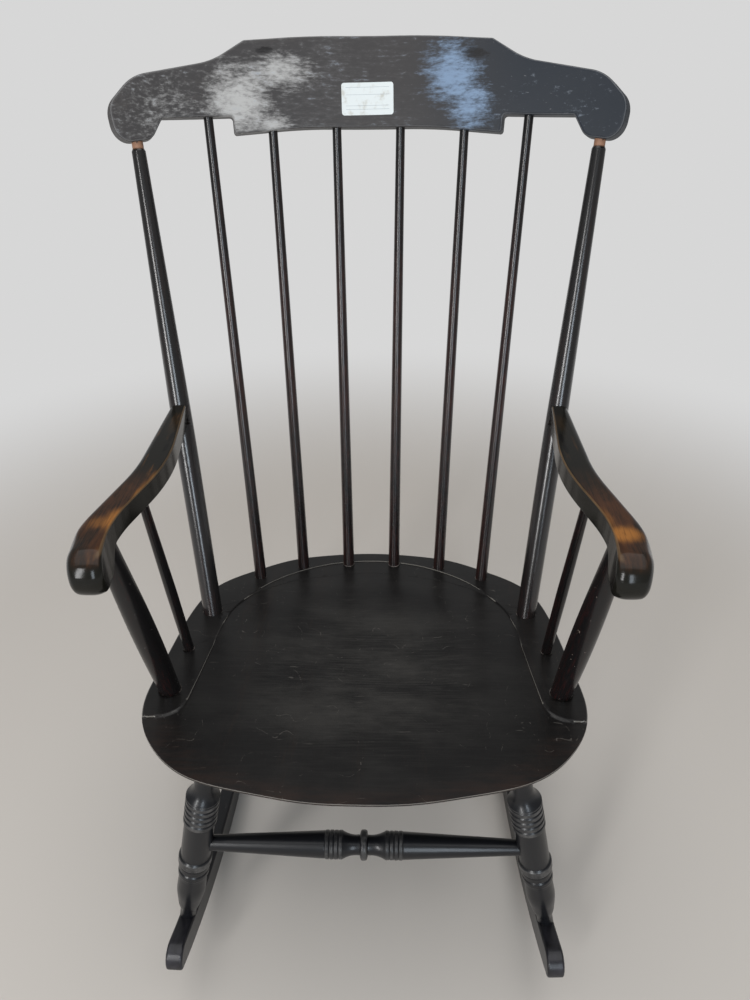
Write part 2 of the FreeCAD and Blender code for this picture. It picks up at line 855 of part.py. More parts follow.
def crest_board():
    """The crest's board: a bent band, cut square to its faces along the shaped outline."""
    near = "0.8 * crest_bend"
    far = "1.1 * (crest_bend + crest_thickness)"
    body = new_body("crest_wedge")
    front = sketch_on(body, "XZ_Plane", "crest_front", f"-({near})")
    outline(front, crest_outline(near))
    back = sketch_on(body, "XZ_Plane", "crest_back", f"-({far})")
    outline(back, crest_outline(far))
    lofted(body, front, back, "crest_cut")
    doc.recompute()
    low = moved(0, 0, -amount("overrun"))
    height = "2 * overrun + 1.1 * crest_height"
    outer = cylinder("crest_back_face", "crest_bend + crest_thickness", height, low)
    inner = cylinder("crest_front_face", "crest_bend", height, low)
    band = combined("Part::Cut", "crest_band", outer, [inner])
    board = combined("Part::Common", "crest_board", body, [band])
    doc.recompute()
    return board


def lies_on_crest_face(points):
    """Whether all the points are on the front face of the crest, or all on its back face."""
    reaches = [math.hypot(point.x, point.y) for point in points]
    faces = (amount("crest_bend"), amount("crest_bend + crest_thickness"))
    return any(all(abs(reach - face) < TOLERANCE for reach in reaches) for face in faces)


def make_crest_rail():
    """The crest rail with soft edges and the bores for the posts and spindles."""
    board = crest_board()
    soft = doc.addObject("Part::Fillet", "crest_soft")
    soft.Base = board
    radius = amount("crest_round")
    soft.Edges = [(number, radius, radius) for number in edges_where(board.Shape, lies_on_crest_face)]
    soft.Placement = crest
    tools = [head_socket_for(stick, "spindle_head", "crest_socket", "overrun") for stick in spindles]
    tools += [head_socket_for(post, "post_neck", "crest_socket", "overrun") for post in posts.values()]
    finished("crest_rail", soft, tools)


# Arms

def arm_plan(side):
    """The arm seen from above: narrow at the post, swinging out to the scroll at the front."""
    outer_rear = "arm_end_width / 2"
    outer_front = "arm_end_width / 2 + arm_swing"
    outer_tip = "arm_end_width / 2 + 0.4 * arm_swing"
    corners = [
        ("-arm_end_width / 2", "0", "0"),
        (f"{outer_rear} - 1.06 * arm_front_width", "-0.435 * arm_length", "0.84 * arm_length"),
        (f"{outer_front} - 1.02 * arm_front_width", "-0.8 * arm_length", "0.56 * arm_length"),
        (f"{outer_tip} - 0.92 * arm_front_width", "-1.05 * arm_length", "0"),
        (outer_tip, "-1.05 * arm_length", "0"),
        (outer_front, "-0.865 * arm_length", "0.5 * arm_length"),
        (outer_rear, "-0.47 * arm_length", "0.8 * arm_length"),
        (outer_rear, "0", "0"),
    ]
    return [(f"{side} * ({x})", y, turn) for x, y, turn in corners]


def arm_side():
    """The arm seen from the side: level, with a scroll turned down at the front."""
    drop_start = "arm_length - 1.4 * knuckle_length"
    return [
        ("0", "0", "0"),
        ("-arm_length", "0", "knuckle_nose"),
        ("-arm_length", "-knuckle_height", "0.8 * knuckle_nose"),
        ("-(arm_length - knuckle_length)", "-knuckle_height", "0.55 * knuckle_nose"),
        (f"-({drop_start})", "-arm_thickness", "0.6 * knuckle_nose"),
        ("0", "-arm_thickness", "0"),
    ]


def arm_blank(word):
    """The arm with sharp edges, where its plan and its side view meet."""
    body = new_body(f"arm_{word}_plan")
    plan = sketch_on(body, "XY_Plane", f"arm_{word}_plan_outline", "-(knuckle_height + overrun)")
    outline(plan, arm_plan(SIDES[word]))
    padded(body, plan, "knuckle_height + 2 * overrun", f"arm_{word}_plan_pad")
    profile = new_body(f"arm_{word}_side")
    side = sketch_on(profile, "YZ_Plane", f"arm_{word}_side_outline", "-2 * arm_front_width")
    outline(side, arm_side())
    padded(profile, side, "4 * arm_front_width", f"arm_{word}_side_pad")
    doc.recompute()
    blank = combined("Part::Common", f"arm_{word}_blank", body, [profile])
    doc.recompute()
    return blank


def across_at(corners, y):
    """The x of a run of corners at a distance along the arm."""
    for (first_x, first_y), (last_x, last_y) in zip(corners, corners[1:]):
        if (first_y - y) * (last_y - y) <= 0:
            return first_x + (last_x - first_x) * (y - first_y) / (last_y - first_y)
    raise RuntimeError("no part of the arm is there")


def arm_rounds(shape, side):
    """The arm's long edges with their rounds: full on the outside, crisp on the inside."""
    corners = [(amount(x), amount(y)) for x, y, _ in arm_plan(side)]
    inner, outer = corners[:4], corners[4:]

    def runs_along(points):
        start, _, end = points
        upright = math.hypot(start.x - end.x, start.y - end.y) < TOLERANCE
        across = math.hypot(start.y - end.y, start.z - end.z) < TOLERANCE
        return not upright and not across

    rounds = []
    for number in edges_where(shape, runs_along):
        edge = shape.Edges[number - 1]
        point = edge.valueAt((edge.FirstParameter + edge.LastParameter) / 2)
        middle = (across_at(inner, point.y) + across_at(outer, point.y)) / 2
        radius = amount("arm_outer_round" if side * (point.x - middle) > 0 else "arm_inner_round")
        rounds.append((number, radius, radius))
    return rounds


def make_arm(word):
    """One arm, bored for the sticks under it, its rear end flat against the post."""
    blank = arm_blank(word)
    soft = doc.addObject("Part::Fillet", f"arm_{word}_soft")
    soft.Base = blank
    soft.Edges = arm_rounds(blank.Shape, SIDES[word])
    soft.Placement = arms[word]
    tools = [
        head_socket_for(arm_spindles[word], "arm_spindle_head", "arm_socket", "overrun"),
        head_socket_for(arm_supports[word], "support_head", "arm_socket", "2 * overrun"),
    ]
    finished(f"arm_{word}", soft, tools)


# Posts and sticks

def make_post(word):
    """One back post, with the flat notch that the arm's end stands against."""
    post = posts[word]
    body = turned_piece(post, post_profile(post.reach))
    notch = doc.addObject("Part::Box", f"post_{word}_notch")
    notch.setExpression("Length", "2 * sizes.post_belly")
    notch.setExpression("Width", "sizes.post_belly")
    notch.setExpression("Height", "sizes.arm_thickness + 2 * sizes.fit")
    corner = Vector(-amount("post_belly"), -amount("post_belly"), -amount("arm_thickness + fit"))
    notch.Placement = arms[word].multiply(Placement(corner, Rotation()))
    finished(post.name, body, [notch])


def make_sticks():
    """The back spindles and the spindle and support under each arm."""
    for stick in spindles:
        profile = taper(stick.reach, "spindle_foot", "spindle_head", "seat_socket", "crest_socket")
        keep(stick.name, turned_piece(stick, profile))
    for stick in arm_spindles.values():
        profile = swelling(stick.reach, "arm_spindle_foot", "arm_spindle_belly", "arm_spindle_head",
                           "seat_socket", "arm_socket")
        keep(stick.name, turned_piece(stick, profile))
    for stick in arm_supports.values():
        profile = swelling(stick.reach, "support_foot", "support_belly", "support_head",
                           "seat_socket", "arm_socket")
        keep(stick.name, turned_piece(stick, profile))


# Rockers, legs and stretchers

def rocker_blade(word):
    """One rocker without its bores: two sweeping arcs, rounded tips and softened edges."""
    body = new_body(f"rocker_{word}_blade")
    sketch = sketch_on(body, "YZ_Plane", f"rocker_{word}_outline", "-rocker_thickness / 2")
    draw_rocker(sketch)
    doc.recompute()
    padded(body, sketch, "rocker_thickness", f"rocker_{word}_pad")
    doc.recompute()
    soften(body, f"rocker_{word}_nose", crosses_top_front, "rocker_nose")
    soften(body, f"rocker_{word}_tail", crosses_top_back, "rocker_tail")
    soften(body, f"rocker_{word}_heels", crosses_bottom, "rocker_heel")
    soften(body, f"rocker_{word}_edges", lies_on_blade_face, "rocker_edge")
    body.Placement = rockers[word]
    return body


def draw_rocker(sketch):
    """The rocker's side view: the arc it rolls on, a flatter arc above it, and its two ends."""
    low, high = "rocker_sweep", "rocker_top_sweep"
    front, back = "rocker_front", "rocker_back"
    bottom_centre = f"{low}"
    top_centre = f"rocker_height + {high}"
    arcs = []
    for radius_text, centre_text in ((low, bottom_centre), (high, top_centre)):
        radius = amount(radius_text)
        centre = Vector(0, amount(centre_text), 0)
        down = -math.pi / 2
        first = down - math.asin(amount(front) / radius)
        last = down + math.asin(amount(back) / radius)
        arc = sketch.addGeometry(Part.ArcOfCircle(Part.Circle(centre, UPWARD, radius), first, last), False)
        arcs.append(arc)
        sketch.addConstraint(Sketcher.Constraint("PointOnObject", arc, 3, -2))
        lift = sketch.addConstraint(Sketcher.Constraint("DistanceY", -1, 1, arc, 3, amount(centre_text)))
        sketch.setExpression(f"Constraints[{lift}]", bound(centre_text))
        turn = sketch.addConstraint(Sketcher.Constraint("Radius", arc, radius))
        sketch.setExpression(f"Constraints[{turn}]", bound(radius_text))
        reach = sketch.addConstraint(Sketcher.Constraint("DistanceX", arc, 1, -1, 1, amount(front)))
        sketch.setExpression(f"Constraints[{reach}]", bound(front))
        reach = sketch.addConstraint(Sketcher.Constraint("DistanceX", -1, 1, arc, 2, amount(back)))
        sketch.setExpression(f"Constraints[{reach}]", bound(back))
    bottom, top = arcs
    for end in (1, 2):
        low_point = sketch.getPoint(bottom, end)
        high_point = sketch.getPoint(top, end)
        line = sketch.addGeometry(Part.LineSegment(low_point, high_point), False)
        sketch.addConstraint(Sketcher.Constraint("Coincident", line, 1, bottom, end))
        sketch.addConstraint(Sketcher.Constraint("Coincident", line, 2, top, end))


def top_height(point):
    """The height of a rocker's top arc above the floor at a point's place along it."""
    sweep = amount("rocker_top_sweep")
    return amount("rocker_height") + sweep - math.sqrt(sweep ** 2 - point.y ** 2)


def bottom_height(point):
    """The height of a rocker's bottom arc above the floor at a point's place along it."""
    sweep = amount("rocker_sweep")
    return sweep - math.sqrt(sweep ** 2 - point.y ** 2)


def crosses_top(points):
    """Whether an edge runs across the top of a blade, from one flat face to the other."""
    start, _, end = points
    return start.x * end.x < 0 and abs(start.z - top_height(start)) < TOLERANCE


def crosses_top_front(points):
    """Whether an edge runs across the top of a blade at its front end."""
    return crosses_top(points) and points[0].y < 0


def crosses_top_back(points):
    """Whether an edge runs across the top of a blade at its back end."""
    return crosses_top(points) and points[0].y > 0


def crosses_bottom(points):
    """Whether an edge runs across the bottom of a blade at one of its ends."""
    start, _, end = points
    at_end = min(abs(start.y + amount("rocker_front")), abs(start.y - amount("rocker_back"))) < TOLERANCE
    return start.x * end.x < 0 and at_end and abs(start.z - bottom_height(start)) < TOLERANCE


def lies_on_blade_face(points):
    """Whether all the points are on a flat face of a blade."""
    half = amount("rocker_thickness / 2")
    return all(abs(abs(point.x) - half) < TOLERANCE for point in points)


def make_legs_and_rockers():
    """The two rockers and the legs that stand in them, bored for the stretchers."""
    bores = {
        "front_leg_left": [near_end_bore(front_stretcher, "stretcher_end"),
                           near_end_bore(side_stretchers["left"], "plain_stretcher_end")],
        "front_leg_right": [far_end_bore(front_stretcher, "stretcher_end"),
                            near_end_bore(side_stretchers["right"], "plain_stretcher_end")],
        "rear_leg_left": [near_end_bore(rear_stretcher, "plain_stretcher_end"),
                          far_end_bore(side_stretchers["left"], "plain_stretcher_end")],
        "rear_leg_right": [far_end_bore(rear_stretcher, "plain_stretcher_end"),
                           far_end_bore(side_stretchers["right"], "plain_stretcher_end")],
    }
    for word in SIDES:
        blade = rocker_blade(word)
        mouths = []
        for leg, profile in ((front_legs[word], front_leg_profile), (rear_legs[word], rear_leg_profile)):
            body = turned_piece(leg, profile(leg.reach))
            trimmed = combined("Part::Cut", f"{leg.name}_trimmed", body, [blade] + bores[leg.name])
            root = leg.placement.multiply(moved(0, 0, leg.length - amount("leg_ankle")))
            tenon = cylinder(f"{leg.name}_tenon", "foot_tenon / 2", "leg_ankle + foot_socket", root)
            keep(leg.name, combined("Part::Fuse", f"{leg.name}_whole", trimmed, [tenon]))
            mouths.append(socket(f"{leg.name}_rocker_bore", leg, leg.length - amount("leg_ankle"),
                                 "leg_ankle + foot_socket + end_gap", "foot_tenon"))
        finished(f"rocker_{word}", blade, mouths)


def make_stretchers():
    """The turned front stretcher and the plain ones at the rear and the sides."""
    profile = front_stretcher_profile(front_stretcher.reach)
    keep(front_stretcher.name, turned_piece(front_stretcher, profile))
    for stretcher in (rear_stretcher, *side_stretchers.values()):
        keep(stretcher.name, turned_piece(stretcher, plain_stretcher_profile(stretcher.reach)))


# Build, check and export

def centre_on_floor():
    """Move every piece so that the origin lies under the middle of the whole chair."""
    box = Part.makeCompound([node.Shape for node in nodes.values()]).optimalBoundingBox()
    shift = moved(-(box.XMin + box.XMax) / 2, -(box.YMin + box.YMax) / 2, -box.ZMin)
    for node in nodes.values():
        node.Placement = shift.multiply(node.Placement)


def check_document():
    """Stop if any object failed to build, or any piece isn't one valid solid."""
    for item in doc.Objects:
        if "Invalid" in item.State or "Error" in item.State:
            raise RuntimeError(f"{item.Name} failed to build")
    for name, node in nodes.items():
        shape = node.Shape
        if shape.isNull() or not shape.isValid() or len(shape.Solids) != 1:
            raise RuntimeError(f"{name} is not one valid solid")


def export_nodes():
    """Write each piece to its own file."""
    os.makedirs("parts", exist_ok=True)
    for name, node in nodes.items():
        node.Shape.exportStep(os.path.join("parts", f"{name}.step"))


make_seat()
make_crest_rail()
for arm_side_word in SIDES:
    make_arm(arm_side_word)
    make_post(arm_side_word)
make_sticks()
make_legs_and_rockers()
make_stretchers()
doc.recompute()
centre_on_floor()
doc.recompute()
check_document()
export_nodes()
whole = Part.makeCompound([node.Shape for node in nodes.values()]).optimalBoundingBox()
print(f"{len(nodes)} pieces, {whole.XLength:.1f} x {whole.YLength:.1f} x {whole.ZLength:.1f} mm")
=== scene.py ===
import logging
import math
from dataclasses import dataclass
from enum import Enum
from typing import Any, Callable, Iterable

import bmesh
import bpy
import numpy as np
from bmesh.types import BMesh, BMVert
from bpy.types import ID, Material, Mesh, Modifier, Node, NodeSocket, NodeTree, Object, World
from mathutils import Euler, Matrix, Vector


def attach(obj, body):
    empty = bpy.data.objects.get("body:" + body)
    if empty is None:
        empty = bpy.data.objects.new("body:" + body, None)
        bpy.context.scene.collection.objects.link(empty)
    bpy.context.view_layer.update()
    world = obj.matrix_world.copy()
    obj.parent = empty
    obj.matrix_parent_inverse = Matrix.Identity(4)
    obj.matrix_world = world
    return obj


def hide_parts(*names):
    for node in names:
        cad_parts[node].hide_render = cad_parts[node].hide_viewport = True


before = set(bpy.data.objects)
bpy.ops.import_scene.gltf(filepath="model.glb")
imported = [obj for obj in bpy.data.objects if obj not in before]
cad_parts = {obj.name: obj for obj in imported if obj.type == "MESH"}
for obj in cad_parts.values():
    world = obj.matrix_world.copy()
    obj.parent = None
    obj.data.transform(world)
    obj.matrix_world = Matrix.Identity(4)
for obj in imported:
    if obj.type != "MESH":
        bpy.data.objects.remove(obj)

# Looks of a spindle back rocking chair: thin black lacquer over reddish wood, rubbed and chipped, with
# painted reflections and painted highlights in places.
# Lengths are in metres. The chair faces -Y and stands at Z = 0, and X is to the right as seen from its front.

log = logging.getLogger("rocking_chair")

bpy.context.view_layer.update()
BODY = "root"
MILLIMETRE = 0.001
SAME_POINT = 0.01 * MILLIMETRE
END_DEPTH = 0.4 * MILLIMETRE
UP = Vector((0, 0, 1))

Pair = tuple[float, float]
Triple = tuple[float, float, float]
Colour = Triple
Spot = tuple[Triple, Triple, float]
WHITE: Colour = (1.0, 1.0, 1.0)


class Side(Enum):
    """The two halves of the chair, as seen from the front."""

    LEFT = -1
    RIGHT = 1

    @property
    def word(self) -> str:
        """The side's name as the model's pieces spell it."""
        return self.name.lower()


class Grain(Enum):
    """Which way the wood's fibres run in a piece's own axes."""

    ACROSS = (0.06, 1.0, 1.0)
    DEEP = (1.0, 0.06, 1.0)
    TALL = (1.0, 1.0, 0.06)


# Frames

@dataclass(frozen=True)
class Axes:
    """A piece's own frame: where its origin lies and how it is turned, in the chair's frame."""

    origin: Vector
    turn: Matrix

    def point(self, x: float, y: float, z: float) -> Vector:
        """The place in the chair's frame of a point given in these axes."""
        return self.origin + self.turn @ Vector((x, y, z))

    def upward(self) -> Vector:
        """The direction in the chair's frame of these axes' Z."""
        return self.turn @ UP

    def tilted(self, degrees: float) -> "Axes":
        """These axes turned about their own X, by degrees that are positive where Y rises towards Z."""
        return Axes(self.origin, self.turn @ Matrix.Rotation(math.radians(degrees), 3, "X"))

    def shifted(self, x: float, y: float, z: float) -> "Axes":
        """These axes with the origin moved along them."""
        return Axes(self.point(x, y, z), self.turn)


CHAIR = Axes(Vector(), Matrix.Identity(3))


def node_points(name: str) -> np.ndarray:
    """The corner points of a node's mesh, one row each."""
    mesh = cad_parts[name].data
    flat = np.empty(len(mesh.vertices) * 3)
    mesh.vertices.foreach_get("co", flat)
    return flat.reshape(-1, 3)


def stick_axes(name: str) -> tuple[Axes, float]:
    """The frame of a turned piece, with Z along it from its lower end.

    Args:
        name: the node of a piece that is round about one straight line.

    Returns:
        The axes at the piece's lower or left end, and the piece's length.
    """
    points = node_points(name)
    middle = (points.min(axis=0) + points.max(axis=0)) / 2
    direction = np.linalg.svd(points - points.mean(axis=0), full_matrices=False)[2][0]
    reach = (points - middle) @ direction
    ends = []
    for edge in (reach.min(), reach.max()):
        cap = points[np.abs(reach - edge) < END_DEPTH]
        ends.append((cap.min(axis=0) + cap.max(axis=0)) / 2)
    ends.sort(key=lambda end: (round(end[2], 2), end[0]))
    foot, head = Vector(ends[0]), Vector(ends[1])
    upward = (head - foot).normalized()
    turn = UP.rotation_difference(upward).to_matrix()
    return Axes(foot, turn), (head - foot).length


def smooth_share(value: float, low: float, high: float) -> float:
    """0 at low and 1 at high, with a soft start and end."""
    share = min(max((value - low) / (high - low), 0.0), 1.0)
    return share * share * (3.0 - 2.0 * share)


# Shader maths

def operator(operation: str, reflected: bool = False) -> Callable[["Signal", Any], "Signal"]:
    """The method that adds a Math node for one of Python's operators.

    Args:
        operation: the Math node's operation.
        reflected: whether the signal is the second of the two values.

    Returns:
        A method for the class Signal.
    """
    def method(self: "Signal", other: Any) -> "Signal":
        """The operation's result on this and other."""
        first, second = (other, self) if reflected else (self, other)
        return self.recipe.add("ShaderNodeMath", {"operation": operation}, {0: first, 1: second})

    return method


class Signal:
    """One output socket, with operators for the maths done on it; highest takes the larger of two."""

    __add__ = operator("ADD")
    __radd__ = operator("ADD", reflected=True)
    __sub__ = operator("SUBTRACT")
    __rsub__ = operator("SUBTRACT", reflected=True)
    __mul__ = operator("MULTIPLY")
    __rmul__ = operator("MULTIPLY", reflected=True)
    highest = operator("MAXIMUM")
    _absolute = operator("ABSOLUTE")

    def __init__(self, recipe: "Recipe", socket: NodeSocket) -> None:
        """Keep the recipe that the socket belongs to, and the socket."""
        self.recipe = recipe
        self.socket = socket

    def __abs__(self) -> "Signal":
        """This without its sign."""
        return self._absolute(0.0)


@dataclass(frozen=True)
class Noise:
    """A pattern of smooth random values.

    Attributes:
        scale: how many waves there are in a metre.
        stretch: a factor on the scale along each axis; small ones draw the waves out.
        detail: how many finer layers are added.
        roughness: how strong each finer layer is.
        seed: a shift that makes another pattern of the same kind.
    """

    scale: float
    stretch: Triple = (1.0, 1.0, 1.0)
    detail: float = 3.0
    roughness: float = 0.55
    seed: float = 0.0


class Recipe:
    """The node tree of one material or world while it is filled."""

    def __init__(self, name: str, library: str = "materials") -> None:
        """Start an empty material, or an empty world where the library is "worlds"."""
        self.owner = getattr(bpy.data, library).new(name)
        self.owner.use_nodes = True
        self.tree = self.owner.node_tree
        self.tree.nodes.clear()

    def add(self, kind: str, settings: dict[str, Any] | None = None,
            inputs: dict[int | str, Any] | None = None, output: int | str = 0) -> Signal:
        """Add a node of any kind.

        Args:
            kind: the node's type.
            settings: its properties, set before anything is linked.
            inputs: a number, a tuple or a Signal for each socket, by place or name.
            output: the place or name of the output that is used.

        Returns:
            The output as a Signal.
        """
        node = self.tree.nodes.new(kind)
        for name, value in (settings or {}).items():
            setattr(node, name, value)
        for place, value in (inputs or {}).items():
            socket = node.inputs[place]
            if isinstance(value, Signal):
                self.tree.links.new(value.socket, socket)
            elif socket.type == "RGBA":
                socket.default_value = (*value[:3], 1.0)
            else:
                socket.default_value = value
        return Signal(self, node.outputs[output])

    def close(self, surface: Signal) -> Material | World:
        """Send the surface to the output and hand over the material or world."""
        end = self.tree.nodes.new(f"ShaderNodeOutput{type(self.owner).__name__}")
        self.tree.links.new(surface.socket, end.inputs["Surface"])
        return self.owner

    def place(self) -> Signal:
        """The point in the chair's frame, from Object coordinates."""
        return self.add("ShaderNodeTexCoord", output="Object")

    def place_in(self, axes: Axes) -> Signal:
        """The point in a piece's own axes."""
        back = axes.turn.transposed()
        shift = -(back @ axes.origin)
        turned = {"Location": tuple(shift), "Rotation": tuple(back.to_euler())}
        return self.add("ShaderNodeMapping", {"vector_type": "POINT"}, {"Vector": self.place(), **turned})

    def vector(self, operation: str, *values: Any, output: str = "Vector") -> Signal:
        """One step of vector maths on one to three values."""
        return self.add("ShaderNodeVectorMath", {"operation": operation}, dict(enumerate(values)), output)

    def length(self, vector: Signal) -> Signal:
        """The length of a vector."""
        return self.vector("LENGTH", vector, output="Value")

    def dot(self, first: Signal, second: Any) -> Signal:
        """The dot product of two vectors."""
        return self.vector("DOT_PRODUCT", first, second, output="Value")

    def normal(self) -> Signal:
        """The way the surface faces, in the chair's frame."""
        return self.add("ShaderNodeTexCoord", output="Normal")

    def facing(self, direction: Vector) -> Signal:
        """How far the surface faces a direction: 1 square on, 0 edge on, -1 turned away."""
        return self.dot(self.normal(), tuple(direction))

    def parts(self, vector: Signal) -> tuple[Signal, Signal, Signal]:
        """The three parts of a vector."""
        split = self.add("ShaderNodeSeparateXYZ", inputs={0: vector}).socket.node
        return tuple(Signal(self, split.outputs[place]) for place in range(3))

    def radius(self, vector: Signal) -> Signal:
        """The distance from the Z axis of a point in a piece's own axes."""
        return self.length(self.vector("MULTIPLY", vector, (1, 1, 0)))

    def rise(self, value: Signal, low: float, high: float) -> Signal:
        """A soft step: 0 below low and 1 above high, or the other way where low is higher."""
        if low > high:
            return 1.0 - self.rise(value, high, low)
        ends = {"From Min": low, "From Max": high}
        settings = {"interpolation_type": "SMOOTHSTEP", "clamp": True}
        return self.add("ShaderNodeMapRange", settings, {"Value": value, **ends})

    def band(self, value: Signal, low: float, high: float, soft: float) -> Signal:
        """1 between low and high, fading to 0 over soft outside them."""
        return self.rise(value, low - soft, low) * self.rise(value, high + soft, high)

    def noise(self, place: Signal, pattern: Noise) -> Signal:
        """The pattern's values at each place, between 0 and 1."""
        seed = pattern.seed
        moved = self.vector("MULTIPLY_ADD", place, pattern.stretch, (seed, seed * 0.7, -seed))
        inputs = {"Vector": moved, "Scale": pattern.scale, "Detail": pattern.detail,
                  "Roughness": pattern.roughness}
        return self.add("ShaderNodeTexNoise", {"noise_dimensions": "3D"}, inputs, "Fac")

    def spot(self, place: Signal, centre: Triple, reach: Triple, hard: float = 0.0) -> Signal:
        """A soft round patch.

        Args:
            place: the point that it is measured from.
            centre: the middle of the patch.
            reach: how far it goes along each axis.
            hard: the share of its reach that is full, from 0 to 1.

        Returns:
            1 in the middle, 0 outside.
        """
        away = self.vector("SUBTRACT", place, centre)
        return self.rise(self.length(self.vector("DIVIDE", away, reach)), 1.0, hard)

    def spots(self, place: Signal, spots: Iterable[Spot]) -> Signal:
        """The strongest of several soft round patches, each with its middle, reach and strength."""
        first, *others = [self.spot(place, centre, reach) * strength for centre, reach, strength in spots]
        for other in others:
            first = first.highest(other)
        return first

    def blend(self, mask: Signal | float, first: Any, second: Any) -> Signal:
        """A colour between two, second where the mask is 1."""
        return self.add("ShaderNodeMix", {"data_type": "RGBA"}, {0: mask, 6: first, 7: second}, 2)


class Layers:
    """Layers of finish laid over one another, each through its own mask."""

    def __init__(self, recipe: Recipe, colour: Any, roughness: Any, coat: Any = 0.0) -> None:
        """Start from the lowest layer's colour, roughness and weight of clear coat."""
        self.recipe = recipe
        self.colour = colour
        self.roughness = roughness
        self.coat = coat
        self.height: Signal | None = None

    def lay(self, mask: Signal, colour: Any = None, roughness: float | None = None,
            coat: float | None = None) -> None:
        """Lay one more finish over the rest.

        Args:
            mask: 1 where the new finish covers, 0 where it doesn't.
            colour: its colour, where that differs.
            roughness: its roughness, where that differs.
            coat: its weight of clear coat, where that differs.
        """
        if colour is not None:
            self.colour = self.recipe.blend(mask, self.colour, colour)
        if roughness is not None:
            self.roughness = self.roughness + mask * (roughness - self.roughness)
        if coat is not None:
            self.coat = self.coat + mask * (coat - self.coat)

    def carve(self, height: Signal, depth: float) -> None:
        """Add to the surface's relief: depth is in metres at a height of 1."""
        step = height * depth
        self.height = step if self.height is None else self.height + step

    def material(self, coat_roughness: float = 0.2, shine: float = 0.3) -> Material:
        """Close the node tree with one surface shader.

        Args:
            coat_roughness: how blurred the clear coat's reflections are.
            shine: how strong the lacquer's own reflections are.

        Returns:
            The finished material.
        """
        inputs = {"Base Color": self.colour, "Roughness": self.roughness, "Coat Weight": self.coat,
                  "Coat Roughness": coat_roughness, "IOR": 1.5, "Specular IOR Level": shine}
        if self.height is not None:
            bump = {"Height": self.height, "Distance": 1.0, "Strength": 1.0}
            inputs["Normal"] = self.recipe.add("ShaderNodeBump", inputs=bump)
        return self.recipe.close(self.recipe.add("ShaderNodeBsdfPrincipled", inputs=inputs))


# Finishes

@dataclass(frozen=True)
class Lacquer:
    """Thin black lacquer on wood."""

    black: Colour = (0.0055, 0.0050, 0.0052)
    brown: Colour = (0.045, 0.016, 0.010)
    bare: Colour = (0.30, 0.16, 0.10)
    rubbed: Colour = (0.16, 0.15, 0.145)
    grain: Grain = Grain.TALL
    pores: float = 900.0
    clouds: float = 22.0
    show: float = 0.5
    roughness: float = 0.30
    spread: float = 0.10
    coat: float = 0.35
    relief: float = 0.05
    tone: Noise = Noise(9.0, roughness=0.6, seed=5.3)

    def start(self, name: str, axes: Axes) -> tuple[Recipe, Layers, Signal]:
        """Lay the black coat, with the wood that shows through it and its fine relief.

        Args:
            name: the material's name.
            axes: the piece's own frame.

        Returns:
            The recipe, the layers so far and the point in the piece's own axes.
        """
        recipe = Recipe(name)
        place = recipe.place_in(axes)
        grain = self.grain.value
        fibre = recipe.noise(place, Noise(self.pores, grain, detail=2.0, roughness=0.6, seed=3.1))
        cloud = recipe.noise(place, Noise(self.clouds, grain, roughness=0.6, seed=1.7))
        tone = recipe.noise(place, self.tone)
        roughness = self.roughness + (tone - 0.5) * self.spread + (fibre - 0.5) * (self.spread * 0.5)
        layers = Layers(recipe, self.black, roughness, self.coat)
        covered = 0.72 - 0.3 * self.show
        layers.lay(recipe.rise(cloud + (fibre - 0.5) * 0.5, covered, covered + 0.26), self.brown)
        layers.carve(fibre, self.relief * MILLIMETRE)
        return recipe, layers, place


@dataclass(frozen=True)
class Paper:
    """Old white label paper with faint empty rules."""

    sheet: Colour = (0.66, 0.70, 0.70)
    stain: Colour = (0.50, 0.50, 0.46)
    rule: Colour = (0.25, 0.29, 0.33)
    rules: tuple[float, ...] = (0.0125, 0.0045, -0.0075, -0.0115)
    rule_width: float = 0.00035
    margin: float = 0.026
    cloud: Noise = Noise(90.0, detail=4.0, roughness=0.6)
    fibre: Noise = Noise(2600.0, detail=2.0, roughness=0.6)

    def material(self, axes: Axes) -> Material:
        """The label's paper, with its rules drawn in the label's own axes."""
        recipe = Recipe("label_paper")
        place = recipe.place_in(axes)
        along, _, height = recipe.parts(place)
        cloud = recipe.noise(place, self.cloud)
        fibre = recipe.noise(place, self.fibre)
        layers = Layers(recipe, self.sheet, 0.55 + (fibre - 0.5) * 0.15, 0.0)
        layers.lay(recipe.rise(cloud, 0.5, 0.75), self.stain)
        inside = recipe.band(along, -self.margin, self.margin, 0.0004)
        for level in self.rules:
            line = recipe.band(height, level, level + self.rule_width, 0.0001)
            layers.lay(line * inside * (0.35 + cloud * 0.6), self.rule)
        layers.carve(fibre, 0.02 * MILLIMETRE)
        return layers.material()


@dataclass(frozen=True)
class Glue:
    """The pale line of old glue and polish round a stick's foot."""

    colour: Colour = (0.13, 0.11, 0.10)
    dark: Colour = (0.03, 0.025, 0.022)
    cloud: Noise = Noise(160.0, roughness=0.6)

    def material(self) -> Material:
        """The glue's material, patchy along its length."""
        recipe = Recipe("old_glue")
        cloud = recipe.noise(recipe.place(), self.cloud)
        layers = Layers(recipe, self.dark, 0.45 + (cloud - 0.5) * 0.2, 0.1)
        layers.lay(recipe.rise(cloud, 0.42, 0.62), self.colour)
        layers.carve(cloud, 0.1 * MILLIMETRE)
        return layers.material()


# Pieces

def dress(name: str, material: Material) -> None:
    """Give a node of the model its finish."""
    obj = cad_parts[name]
    for place in obj.material_slots:
        place.material = material
    log.info("%s dressed", name)


def place_object(name: str, data: ID) -> Object:
    """A new object in the scene that carries the data."""
    obj = bpy.data.objects.new(name, data)
    bpy.context.scene.collection.objects.link(obj)
    return obj


def as_mesh(build: BMesh, name: str) -> Mesh:
    """The finished mesh of what was built, under its name."""
    mesh = bpy.data.meshes.new(name)
    build.to_mesh(mesh)
    build.free()
    return mesh


